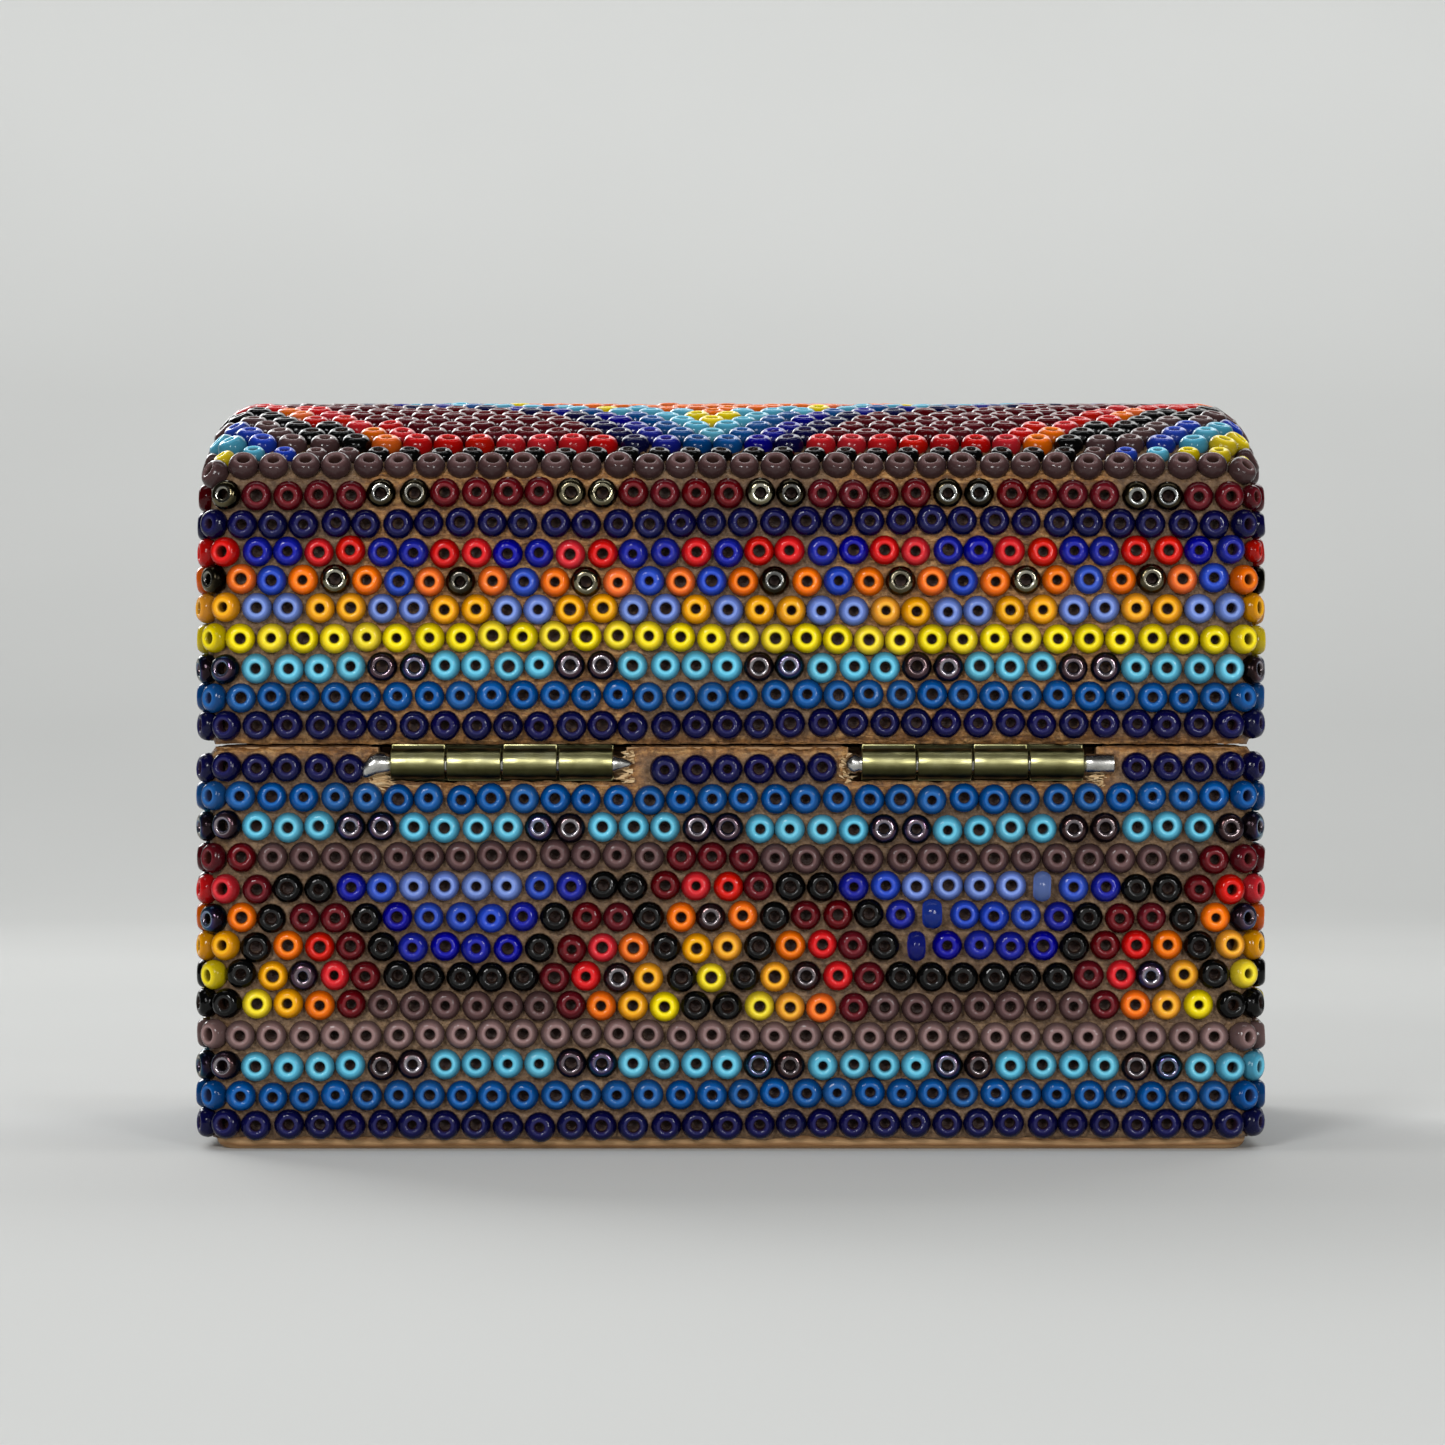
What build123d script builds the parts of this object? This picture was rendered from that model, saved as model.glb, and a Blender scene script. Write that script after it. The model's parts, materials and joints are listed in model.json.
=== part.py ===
"""Hinged wooden trinket box covered in glass seed beads pressed into wax.

Frame: origin at the centre of the box's underside, +Z up, front towards -Y, hinges towards +Y.
Units are millimetres.
"""

import os
from math import asin, cos, hypot, pi, sin, sqrt

from build123d import *

# ---- wooden box ----
BOX_LENGTH = 73.2
BOX_DEPTH = 48.0
CORNER_RADIUS = 1.8
WALL = 5.0
FLOOR = 4.0
BOTTOM_EDGE_RADIUS = 0.8
BASE_HEIGHT = 28.5
SEAM_GAP = 0.25
LID_UNDERSIDE = BASE_HEIGHT + SEAM_GAP
LID_CEILING = 44.5
CREST_HEIGHT = 52.8
CROWN_RADIUS = 59.0
TOP_EDGE_RADIUS = 2.2

# ---- wax coat ----
WAX = 0.3
WAX_BOTTOM = 0.8
WAX_SEAM_MARGIN = 0.35

# ---- seed beads ----
BEAD_DIAMETER = 2.12
BEAD_HEIGHT = 1.3
BEAD_HOLE = 0.78
BEAD_RIM = 1.32
BEAD_SEAT = 0.1
PITCH_LINE = 0.8
BEADS_ROUND = 110
SMALL_BEAD_SCALE = 0.8
SQUEEZED_ROW_SHIFT = 0.29
MIN_SPACING = 2.125

# ---- bead rows ----
BASE_ROWS = 13
BASE_FIRST_ROW = 1.83
BASE_ROW_PITCH = 2.098
LID_ROWS = 9
LID_FIRST_ROW = 30.1
LID_ROW_PITCH = 2.04
TOP_ROWS = 25
TOP_MIDDLE_ROW = (TOP_ROWS - 1) // 2
EDGE_ROW_TILT = 0.85
END_ROW_LIMIT = 0.9
GABLE_ROWS = 3
GABLE_MARGIN = 1.6
PATTERN_SHIFT = 1.34
ROW_WAVE = 0.09
FILL_START = 1.5
FILL_DEPTH = 10.0
FILL_STEP = 0.25

# ---- hinges ----
HINGE_CENTRES = {"left": -17.1, "right": 16.2}
KNUCKLES = 4
KNUCKLE_LENGTH = 3.82
KNUCKLE_GAP = 0.14
KNUCKLE_RADIUS = 1.08
BORE_RADIUS = 0.66
PIN_RADIUS = 0.62
PIN_TIP_RADIUS = 0.3
PIN_LENGTH = 18.0
PIN_TIP = 1.0
HINGE_Y = BOX_DEPTH / 2 + 0.6
HINGE_Z = 27.35
LEAF_THICKNESS = 0.5
LEAF_REACH = 3.6
NOTCH_WIDTH = 17.6
NOTCH_FLOOR = 25.8
NOTCH_REACH = 4.3
NAIL_SPACING = 8.6
NAIL_INSET = 2.2
NAIL_RADIUS = 0.45
NAIL_HEAD_RADIUS = 0.8
NAIL_HEAD = 0.3
NAIL_LENGTH = 4.5
NAIL_CLEARANCE = 0.02

HALF_LENGTH = BOX_LENGTH / 2
HALF_DEPTH = BOX_DEPTH / 2
CROWN_CENTRE = CREST_HEIGHT - CROWN_RADIUS
EDGE_Y = HALF_DEPTH - TOP_EDGE_RADIUS
EDGE_Z = CROWN_CENTRE + sqrt((CROWN_RADIUS - TOP_EDGE_RADIUS) ** 2 - EDGE_Y**2)
CROWN_ANGLE = asin(EDGE_Y / (CROWN_RADIUS - TOP_EDGE_RADIUS))


# ---------------------------------------------------------------- wooden shapes
def lid_block(grow, bottom):
    """The lid's outer form, grown outwards by grow, from bottom up to the crown."""
    radius = CROWN_RADIUS + grow
    edge = TOP_EDGE_RADIUS + grow
    depth = HALF_DEPTH + grow
    crown_y = radius * sin(CROWN_ANGLE)
    crown_z = CROWN_CENTRE + radius * cos(CROWN_ANGLE)
    mid_angle = (pi / 2 - CROWN_ANGLE) / 2
    mid_y = EDGE_Y + edge * cos(mid_angle)
    mid_z = EDGE_Z + edge * sin(mid_angle)
    with BuildPart() as block:
        with BuildSketch(Plane.YZ):
            with BuildLine():
                Polyline((-depth, EDGE_Z), (-depth, bottom), (depth, bottom), (depth, EDGE_Z))
                ThreePointArc((depth, EDGE_Z), (mid_y, mid_z), (crown_y, crown_z))
                ThreePointArc((crown_y, crown_z), (0, CROWN_CENTRE + radius), (-crown_y, crown_z))
                ThreePointArc((-crown_y, crown_z), (-mid_y, mid_z), (-depth, EDGE_Z))
            make_face()
        extrude(amount=HALF_LENGTH + grow, both=True)
        ends = block.faces().filter_by(Axis.X)
        underside = block.faces().sort_by(Axis.Z)[0]
        rounded = ends.edges() - underside.edges()
        fillet(rounded, radius=CORNER_RADIUS + grow)
    return block.part


def base_block(grow, bottom, top, bottom_radius=0.0):
    """The base's outer form, grown outwards by grow, between two heights."""
    with BuildPart() as block:
        with BuildSketch(Plane.XY.offset(bottom)):
            RectangleRounded(
                BOX_LENGTH + 2 * grow, BOX_DEPTH + 2 * grow, CORNER_RADIUS + grow
            )
        extrude(amount=top - bottom)
        if bottom_radius > 0:
            fillet(block.faces().sort_by(Axis.Z)[0].edges(), radius=bottom_radius)
    return block.part


def brick(x_range, y_range, z_range):
    """A plain block between two limits on each axis."""
    with BuildPart() as block:
        with BuildSketch(Plane.XY.offset(z_range[0])):
            with Locations((sum(x_range) / 2, sum(y_range) / 2)):
                Rectangle(x_range[1] - x_range[0], y_range[1] - y_range[0])
        extrude(amount=z_range[1] - z_range[0])
    return block.part


def keep(part, label):
    """Label one finished piece and write it out."""
    part.label = label
    export_step(part, f"parts/{label}.step")


INNER_X = HALF_LENGTH - WALL
INNER_Y = HALF_DEPTH - WALL
OUTSIDE = HALF_LENGTH + 10
BOARDS = {
    "front": ((-OUTSIDE, OUTSIDE), (-OUTSIDE, -INNER_Y)),
    "back": ((-OUTSIDE, OUTSIDE), (INNER_Y, OUTSIDE)),
    "left": ((-OUTSIDE, -INNER_X), (-INNER_Y, INNER_Y)),
    "right": ((INNER_X, OUTSIDE), (-INNER_Y, INNER_Y)),
}
LEAF_HALF = (KNUCKLES * KNUCKLE_LENGTH + (KNUCKLES - 1) * KNUCKLE_GAP) / 2
NAIL_Y = HALF_DEPTH - NAIL_INSET
BASE_LEAF_Z = HINGE_Z - KNUCKLE_RADIUS - 0.15
LID_LEAF_Z = LID_UNDERSIDE - 0.05 - LEAF_THICKNESS


def nail_places():
    """Plan positions of the nails of both hinges, two to a leaf."""
    return [
        (centre + side * NAIL_SPACING / 2, NAIL_Y)
        for centre in HINGE_CENTRES.values()
        for side in (-1, 1)
    ]


def base_walls():
    """Four boards of the base, the back one notched for the hinges and drilled for nails."""
    shape = base_block(0, 0, BASE_HEIGHT, BOTTOM_EDGE_RADIUS)
    for side, (x_range, y_range) in BOARDS.items():
        with BuildPart() as wall:
            add(shape)
            add(brick(x_range, y_range, (0, BASE_HEIGHT)), mode=Mode.INTERSECT)
            if side == "back":
                for centre in HINGE_CENTRES.values():
                    with BuildSketch(Plane.XY.offset(NOTCH_FLOOR)):
                        with Locations((centre, HALF_DEPTH)):
                            Rectangle(NOTCH_WIDTH, 2 * NOTCH_REACH)
                    extrude(amount=BASE_HEIGHT, mode=Mode.SUBTRACT)
                with BuildSketch(Plane.XY.offset(BASE_LEAF_Z)):
                    with Locations(*nail_places()):
                        Circle(NAIL_RADIUS + NAIL_CLEARANCE)
                extrude(amount=-NAIL_LENGTH - NAIL_CLEARANCE, mode=Mode.SUBTRACT)
        keep(wall.part, f"base_{side}_wall")


def base_floor():
    """Bottom panel let in between the four walls."""
    with BuildPart() as floor:
        with BuildSketch(Plane.XY):
            Rectangle(2 * INNER_X, 2 * INNER_Y)
        extrude(amount=FLOOR)
    keep(floor.part, "base_bottom_panel")


def lid_rails():
    """Four boards round the lid's rim, the back one drilled for the hinge nails."""
    shape = lid_block(0, LID_UNDERSIDE)
    for side, (x_range, y_range) in BOARDS.items():
        with BuildPart() as rail:
            add(shape)
            add(brick(x_range, y_range, (0, LID_CEILING)), mode=Mode.INTERSECT)
            if side == "back":
                with BuildSketch(Plane.XY.offset(LID_UNDERSIDE)):
                    with Locations(*nail_places()):
                        Circle(NAIL_RADIUS + NAIL_CLEARANCE)
                extrude(amount=NAIL_LENGTH, mode=Mode.SUBTRACT)
        keep(rail.part, f"lid_{side}_rail")
    with BuildPart() as panel:
        add(shape)
        span = (-OUTSIDE, OUTSIDE)
        add(brick(span, span, (LID_CEILING, 2 * CREST_HEIGHT)), mode=Mode.INTERSECT)
    keep(panel.part, "lid_top_panel")


def wax_coats():
    """Thin wax skins on the outside of the base and the lid."""
    top = BASE_HEIGHT - WAX_SEAM_MARGIN
    with BuildPart() as base_coat:
        add(base_block(WAX, WAX_BOTTOM, top))
        add(base_block(0, 0, BASE_HEIGHT, BOTTOM_EDGE_RADIUS / 2), mode=Mode.SUBTRACT)
        for centre in HINGE_CENTRES.values():
            with BuildSketch(Plane.XY.offset(NOTCH_FLOOR)):
                with Locations((centre, HALF_DEPTH)):
                    Rectangle(NOTCH_WIDTH + 1.0, 2 * NOTCH_REACH)
            extrude(amount=BASE_HEIGHT, mode=Mode.SUBTRACT)
    keep(base_coat.part, "base_wax_coat")
    with BuildPart() as lid_coat:
        add(lid_block(WAX, LID_UNDERSIDE + WAX_SEAM_MARGIN))
        add(lid_block(0, LID_UNDERSIDE - 1.0), mode=Mode.SUBTRACT)
    keep(lid_coat.part, "lid_wax_coat")


# ---------------------------------------------------------------- hinges
def hinge_leaf(centre, lid_side):
    """One leaf with its two knuckles; the lid's knuckles are the first and third from +X."""
    leaf_z = LID_LEAF_Z if lid_side else BASE_LEAF_Z
    step = KNUCKLE_LENGTH + KNUCKLE_GAP
    first = 0 if lid_side else 1
    starts = [centre + LEAF_HALF - KNUCKLE_LENGTH - k * step for k in range(first, KNUCKLES, 2)]
    plate_y = HALF_DEPTH - LEAF_REACH
    relief = KNUCKLE_RADIUS + KNUCKLE_GAP
    with BuildPart() as leaf:
        with BuildSketch(Plane.XY.offset(leaf_z)):
            with Locations((centre, plate_y / 2 + (HINGE_Y - relief) / 2)):
                Rectangle(2 * LEAF_HALF, HINGE_Y - relief - plate_y)
            for start in starts:
                with Locations((start + KNUCKLE_LENGTH / 2, HINGE_Y - relief / 2 - 0.05)):
                    Rectangle(KNUCKLE_LENGTH, relief + 0.1)
        extrude(amount=LEAF_THICKNESS)
        for start in starts:
            with BuildSketch(Plane.YZ.offset(start)):
                with Locations((HINGE_Y, HINGE_Z)):
                    Circle(KNUCKLE_RADIUS)
            extrude(amount=KNUCKLE_LENGTH)
        with BuildSketch(Plane.YZ.offset(centre - PIN_LENGTH)):
            with Locations((HINGE_Y, HINGE_Z)):
                Circle(BORE_RADIUS)
        extrude(amount=2 * PIN_LENGTH, mode=Mode.SUBTRACT)
        with BuildSketch(Plane.XY.offset(leaf_z - 1)):
            with Locations(*[(centre + side * NAIL_SPACING / 2, NAIL_Y) for side in (-1, 1)]):
                Circle(NAIL_RADIUS + NAIL_CLEARANCE)
        extrude(amount=LEAF_THICKNESS + 2, mode=Mode.SUBTRACT)
    return leaf.part


def hinge_pin(centre):
    """Round pin with a short taper at both ends, turned about the hinge line."""
    half = PIN_LENGTH / 2
    with BuildPart() as pin:
        with BuildSketch(Plane.XY):
            with BuildLine():
                Polyline(
                    (centre - half, 0),
                    (centre - half, PIN_TIP_RADIUS),
                    (centre - half + PIN_TIP, PIN_RADIUS),
                    (centre + half - PIN_TIP, PIN_RADIUS),
                    (centre + half, PIN_TIP_RADIUS),
                    (centre + half, 0),
                    close=True,
                )
            make_face()
        revolve(axis=Axis.X)
    return Pos(0, HINGE_Y, HINGE_Z) * pin.part


def hinge_nails(lid_side):
    """The four small nails that hold the base leaves or the lid leaves."""
    head_face = LID_LEAF_Z if lid_side else BASE_LEAF_Z + LEAF_THICKNESS
    towards_wood = 1 if lid_side else -1
    with BuildPart() as nails:
        with BuildSketch(Plane.XY.offset(head_face)):
            with Locations(*nail_places()):
                Circle(NAIL_HEAD_RADIUS)
        extrude(amount=-towards_wood * NAIL_HEAD)
        with BuildSketch(Plane.XY.offset(head_face)):
            with Locations(*nail_places()):
                Circle(NAIL_RADIUS)
        extrude(amount=towards_wood * NAIL_LENGTH)
    return nails.part


def hinges():
    """Two four-knuckle hinges and their nails."""
    for name, centre in HINGE_CENTRES.items():
        keep(hinge_leaf(centre, False), f"{name}_hinge_base_leaf")
        keep(hinge_leaf(centre, True), f"{name}_hinge_lid_leaf")
        keep(hinge_pin(centre), f"{name}_hinge_pin")
    keep(hinge_nails(False), "base_hinge_nails")
    keep(hinge_nails(True), "lid_hinge_nails")


# ---------------------------------------------------------------- bead places
PITCH_RADIUS = CORNER_RADIUS + PITCH_LINE
FLAT_X = HALF_LENGTH - CORNER_RADIUS
FLAT_Y = HALF_DEPTH - CORNER_RADIUS
CORNER_ARC = PITCH_RADIUS * pi / 2
PERIMETER = 4 * (FLAT_X + FLAT_Y + CORNER_ARC)
BEAD_PITCH = PERIMETER / BEADS_ROUND
FACES = (
    (Vector(0, 1, 0), Vector(-1, 0, 0), FLAT_X, HALF_DEPTH),
    (Vector(-1, 0, 0), Vector(0, -1, 0), FLAT_Y, HALF_LENGTH),
    (Vector(0, -1, 0), Vector(1, 0, 0), FLAT_X, HALF_DEPTH),
    (Vector(1, 0, 0), Vector(0, 1, 0), FLAT_Y, HALF_LENGTH),
)


def round_the_box(distance):
    """Wood surface point, outward normal and run direction at a distance along the pitch line.

    The line starts in the middle of the back and runs towards -X.
    """
    left = (distance + FLAT_X) % PERIMETER
    for normal, along, half, reach in FACES:
        if left < 2 * half:
            return normal * reach + along * (left - half), normal, along
        left -= 2 * half
        if left < CORNER_ARC:
            angle = left / PITCH_RADIUS
            outward = normal * cos(angle) + along * sin(angle)
            centre = normal * (reach - CORNER_RADIUS) + along * half
            return centre + outward * CORNER_RADIUS, outward, along * cos(angle) - normal * sin(angle)
        left -= CORNER_ARC
    raise ValueError("distance is off the line")


def wave(distance, row):
    """Slow rise and fall of a hand-laid row."""
    lift = sin(2 * pi * distance / PERIMETER * 3 + row) + 0.6 * sin(2 * pi * distance / PERIMETER * 7 - row)
    return ROW_WAVE * lift


def bead_plane(point, outward, along):
    """Plane on which a bead stands: its z runs up the bead's hole."""
    return Plane(origin=point + outward * BEAD_SEAT, x_dir=along, z_dir=outward)


def wall_place(beads_along, height, row):
    """Plane of a bead on the upright walls."""
    distance = beads_along * BEAD_PITCH - PATTERN_SHIFT
    point, outward, along = round_the_box(distance)
    return bead_plane(point + Vector(0, 0, height + wave(distance, row)), outward, along)


TOP_EDGE_PITCH = TOP_EDGE_RADIUS + PITCH_LINE
EDGE_ARC = (pi / 2 - CROWN_ANGLE - EDGE_ROW_TILT) * TOP_EDGE_PITCH
CROWN_ARC = CROWN_ANGLE * (CROWN_RADIUS + PITCH_LINE)
TOP_ROW_PITCH = (EDGE_ARC + CROWN_ARC) / TOP_MIDDLE_ROW


def over_the_lid(row):
    """Point and normal, in the YZ plane, of a row of the lid's top, from the back edge."""
    side = 1 if row <= TOP_MIDDLE_ROW else -1
    from_edge = min(row, TOP_ROWS - 1 - row) * TOP_ROW_PITCH
    if from_edge < EDGE_ARC:
        angle = EDGE_ROW_TILT + from_edge / TOP_EDGE_PITCH
        outward = Vector(0, side * cos(angle), sin(angle))
        return Vector(0, side * EDGE_Y, EDGE_Z) + outward * TOP_EDGE_RADIUS, outward
    angle = CROWN_ANGLE - (from_edge - EDGE_ARC) / (CROWN_RADIUS + PITCH_LINE)
    outward = Vector(0, side * sin(angle), cos(angle))
    return Vector(0, 0, CROWN_CENTRE) + outward * CROWN_RADIUS, outward


def top_place(beads_across, row):
    """Plane of a bead on the lid's top, or None beyond the rounded ends."""
    across = beads_across * BEAD_PITCH - PATTERN_SHIFT
    point, outward = over_the_lid(row)
    sign = -1 if across > 0 else 1
    if abs(across) <= FLAT_X:
        return bead_plane(point + Vector(-across, 0, 0), outward, Vector(-1, 0, 0))
    angle = (abs(across) - FLAT_X) / PITCH_RADIUS
    if angle > END_ROW_LIMIT:
        return None
    centre = point - outward * CORNER_RADIUS + Vector(sign * FLAT_X, 0, 0)
    tipped = outward * cos(angle) + Vector(sign * sin(angle), 0, 0)
    along = Vector(-cos(angle), 0, 0) + outward * (sign * sin(angle))
    return bead_plane(centre + tipped * CORNER_RADIUS, tipped, along)


# ---------------------------------------------------------------- bead colours
BACK_PEAKS = (-16, 0, 17)
PEAKS = BACK_PEAKS + (38, 55, 72)
STEADY_PAIRS = tuple(range(-16, BEADS_ROUND - 20, 6))
BROKEN_LID_PAIRS = (-16, -10, -4, 2, 7, 12) + tuple(range(18, BEADS_ROUND - 20, 6))
BROKEN_BASE_PAIRS = (-16, -11, -5, 0, 6, 12, 17) + tuple(range(23, BEADS_ROUND - 20, 6))
SIDEWAYS_BEADS = ((6, 6.5), (7, 7.0), (8, 10.5))


def gap_round(one, other):
    """Shortest way round the box between two bead positions, in beads."""
    gap = abs(one - other) % BEADS_ROUND
    return min(gap, BEADS_ROUND - gap)


def paired(along, centres, pair_colour, ground_colour):
    """Pairs of one colour on a ground of another."""
    near = min(gap_round(along, centre) for centre in centres)
    return pair_colour if near < 1 else ground_colour


def banded(distance, bands, last):
    """Colour of the first band whose upper limit is above distance."""
    for limit, colour in bands:
        if distance < limit:
            return colour
    return last


MOTIF = {
    9: (((1.5, "maroon"),), "mauve"),
    8: (((1, "red"), (2, "maroon"), (4, "black"), (5, "royal"), (6, "cobalt")), "periwinkle"),
    7: (
        ((0.5, "iris"), (1.5, "orange"), (2.5, "black"), (4.5, "maroon"), (5.5, "black"), (6.5, "royal")),
        "cobalt",
    ),
    6: (
        ((1, "amber"), (2, "black"), (3, "orange"), (4, "red"), (5, "maroon"), (6, "black")),
        "royal",
    ),
    5: (
        ((0.5, "yellow"), (1.5, "black"), (2.5, "amber"), (3.5, "iris"), (4.5, "red"), (5.5, "maroon")),
        "black",
    ),
    4: (((1, "black"), (2, "yellow"), (3, "amber"), (4, "orange"), (5, "maroon")), "mauve"),
}
BASE_PLAIN = {0: "navy", 1: "mid_blue", 3: "pale_mauve", 11: "mid_blue", 12: "navy"}


def base_colour(row, along):
    """Bead colour on the base; row 0 is the lowest."""
    if row in BASE_PLAIN:
        return BASE_PLAIN[row]
    if row == 2:
        return paired(along, STEADY_PAIRS, "iris", "light_blue")
    if row == 10:
        return paired(along, BROKEN_BASE_PAIRS, "iris", "light_blue")
    bands, last = MOTIF[row]
    return banded(min(gap_round(along, peak) for peak in PEAKS), bands, last)


LID_PLAIN = {0: "navy", 1: "mid_blue", 3: "yellow", 7: "navy"}


def lid_colour(row, along):
    """Bead colour on the lid's walls; row 0 is just above the seam."""
    if row in LID_PLAIN:
        return LID_PLAIN[row]
    if row == 2:
        return paired(along, BROKEN_LID_PAIRS, "iris", "light_blue")
    if row == 8:
        return paired(along, STEADY_PAIRS, "metallic", "maroon")
    in_group = (along - 2) % 4
    from_centre = min(in_group, 4 - in_group)
    if row == 5:
        return banded(from_centre, ((0.5, "metallic"), (1.5, "orange")), "cobalt")
    warm, cool = {4: ("amber", "periwinkle"), 6: ("red", "royal")}[row]
    return warm if from_centre < 1 else cool


CORNER_BANDS = ((9.3, None), (10.9, "black"), (12.3, "mauve"), (13.2, "cobalt"), (14.3, "light_blue"))
STAR_BANDS = (
    (-3.9, "orange"), (-2, "yellow"), (-1, "light_blue"), (0, "mid_blue"), (1, "royal"), (2, "navy"),
)
CORNER_SLOPE = 0.8
STAR_REACH = 14.2
RAY_EDGE = 7.0
RAY_END = 8.3


def top_colour(row, beads_across):
    """Bead colour on the lid's top; the pattern mirrors front to back and side to side."""
    inwards = min(row, TOP_ROWS - 1 - row)
    across = abs(beads_across)
    if inwards == 0:
        return "mauve"
    cornerwards = across - CORNER_SLOPE * inwards
    corner = banded(cornerwards, CORNER_BANDS, "yellow")
    if corner:
        return corner
    if inwards == 1:
        return "black"
    steep = across - inwards / 2
    flat = across + 2 * (TOP_MIDDLE_ROW - inwards) - STAR_REACH
    star = banded(min(steep, flat), STAR_BANDS, None)
    if star == "yellow" and flat < steep:
        return "yellow" if round(across * 2) % 6 == 1 else "light_blue"
    if star:
        return star
    if cornerwards > RAY_END:
        return "orange" if inwards % 4 in (2, 3) else "red"
    return "red" if inwards == 2 or cornerwards > RAY_EDGE else "maroon"


# ---------------------------------------------------------------- beads
def bead(scale):
    """One seed bead: a rounded ring standing on the plane z = 0, its hole along Z."""
    middle = BEAD_HEIGHT * scale / 2
    with BuildPart() as ring:
        with BuildSketch(Plane.XZ):
            with BuildLine():
                rim = BEAD_RIM / 2 * scale
                hole = BEAD_HOLE / 2 * scale
                Polyline((rim, 2 * middle), (hole, 2 * middle), (hole, 0), (rim, 0))
                ThreePointArc((rim, 0), (BEAD_DIAMETER / 2 * scale, middle), (rim, 2 * middle))
            make_face()
        revolve(axis=Axis.Z)
    return ring.part


def centre_of(plane):
    """Middle of the bead that stands on a plane."""
    return plane.origin + plane.z_dir * (BEAD_HEIGHT / 2)


def in_notch(plane):
    """Whether a bead of the base's top row would cover a hinge."""
    reach = (NOTCH_WIDTH + BEAD_DIAMETER) / 2 + 0.25
    near = any(abs(plane.origin.X - centre) < reach for centre in HINGE_CENTRES.values())
    return near and plane.origin.Y > INNER_Y


def half_step(row):
    """Rows are laid half a bead out of step with their neighbours."""
    return 0.5 * (row % 2 == 0)


def base_beads():
    """Colour and plane of every bead on the base."""
    beads = []
    for row in range(BASE_ROWS):
        height = BASE_FIRST_ROW + BASE_ROW_PITCH * row
        for count in range(BEADS_ROUND):
            along = count + half_step(row)
            place = wall_place(along, height, row)
            if row == BASE_ROWS - 1 and in_notch(place):
                continue
            if (row, along) in SIDEWAYS_BEADS:
                lie = place.z_dir * (BEAD_DIAMETER / 2) - place.x_dir * (BEAD_HEIGHT / 2)
                place = Plane(origin=place.origin + lie, x_dir=-place.z_dir, z_dir=place.x_dir)
            beads.append((base_colour(row, along), place))
    return beads


def lid_wall_beads():
    """Colour and plane of every bead on the lid's walls and gables."""
    beads = []
    for row in range(LID_ROWS + GABLE_ROWS):
        height = LID_FIRST_ROW + LID_ROW_PITCH * row
        for count in range(BEADS_ROUND):
            along = count + half_step(row)
            place = wall_place(along, height, row)
            if row < LID_ROWS:
                beads.append((lid_colour(row, along), place))
            elif abs(place.z_dir.X) > 0.99 and under_gable(place):
                beads.append(("mauve" if row % 2 else "maroon", place))
    return beads


def under_gable(place):
    """Whether a bead on an end of the lid stands on the flat part below the rounded edge."""
    edge = CROWN_CENTRE + sqrt((CROWN_RADIUS - CORNER_RADIUS) ** 2 - place.origin.Y**2)
    return place.origin.Z < edge - GABLE_MARGIN


def top_shift(row):
    """Part of a bead by which a row of the lid's top is out of step."""
    inwards = min(row, TOP_ROWS - 1 - row)
    if inwards == 1:
        return SQUEEZED_ROW_SHIFT
    return 0.5 * (inwards % 2 == 0 and inwards > 0)


def lid_top_beads():
    """Colour, plane and row of every bead on the lid's top."""
    beads = []
    reach = BEADS_ROUND // 5
    for row in range(TOP_ROWS):
        for count in range(-reach, reach):
            across = count + top_shift(row)
            place = top_place(across, row)
            if place is not None:
                small = row in (1, TOP_ROWS - 2)
                beads.append((top_colour(row, across), place, small))
    return beads


def too_close(place, centres):
    """Whether a bead would press on one that is already set."""
    x, y, z = centre_of(place)
    return any(
        abs(a - x) < MIN_SPACING and hypot(a - x, b - y, c - z) < MIN_SPACING
        for a, b, c in centres
    )


def end_place(sign, crown_angle, down):
    """Plane of a bead a distance down from the crown, over one rounded end of the lid."""
    outward = Vector(0, sin(crown_angle), cos(crown_angle))
    crown = Vector(0, 0, CROWN_CENTRE) + outward * (CROWN_RADIUS - CORNER_RADIUS)
    angle = min(down / PITCH_RADIUS, pi / 2)
    drop = max(down - CORNER_ARC, 0)
    sideways = Vector(sign, 0, 0)
    tipped = outward * cos(angle) + sideways * sin(angle)
    point = crown + sideways * FLAT_X + tipped * CORNER_RADIUS - outward * drop
    return bead_plane(point, tipped, Vector(0, 1, 0))


def fill_ends(centres):
    """Beads pushed in wherever the ends of the lid still have room for one."""
    filled = []
    steps = round(CROWN_ANGLE * CROWN_RADIUS / FILL_STEP)
    for level in range(round(FILL_DEPTH / FILL_STEP)):
        down = FILL_START + level * FILL_STEP
        for sign in (-1, 1):
            for step in range(-steps, steps + 1):
                place = end_place(sign, step * FILL_STEP / CROWN_RADIUS, down)
                if not too_close(place, centres):
                    centres.append(tuple(centre_of(place)))
                    filled.append(("mauve", place, False))
    return filled


def write_beads(body, groups):
    """One node per body and colour, each bead a separate solid."""
    rings = {False: bead(1.0), True: bead(SMALL_BEAD_SCALE)}
    for colour, members in groups.items():
        with BuildPart() as strung:
            for small, ring in rings.items():
                places = [place.location for place, is_small in members if is_small == small]
                if places:
                    with Locations(*places):
                        add(ring)
        keep(strung.part, f"{body}_beads_{colour}")


def grouped(beads):
    """Beads gathered by colour."""
    groups = {}
    for colour, place, small in beads:
        groups.setdefault(colour, []).append((place, small))
    return groups


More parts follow.
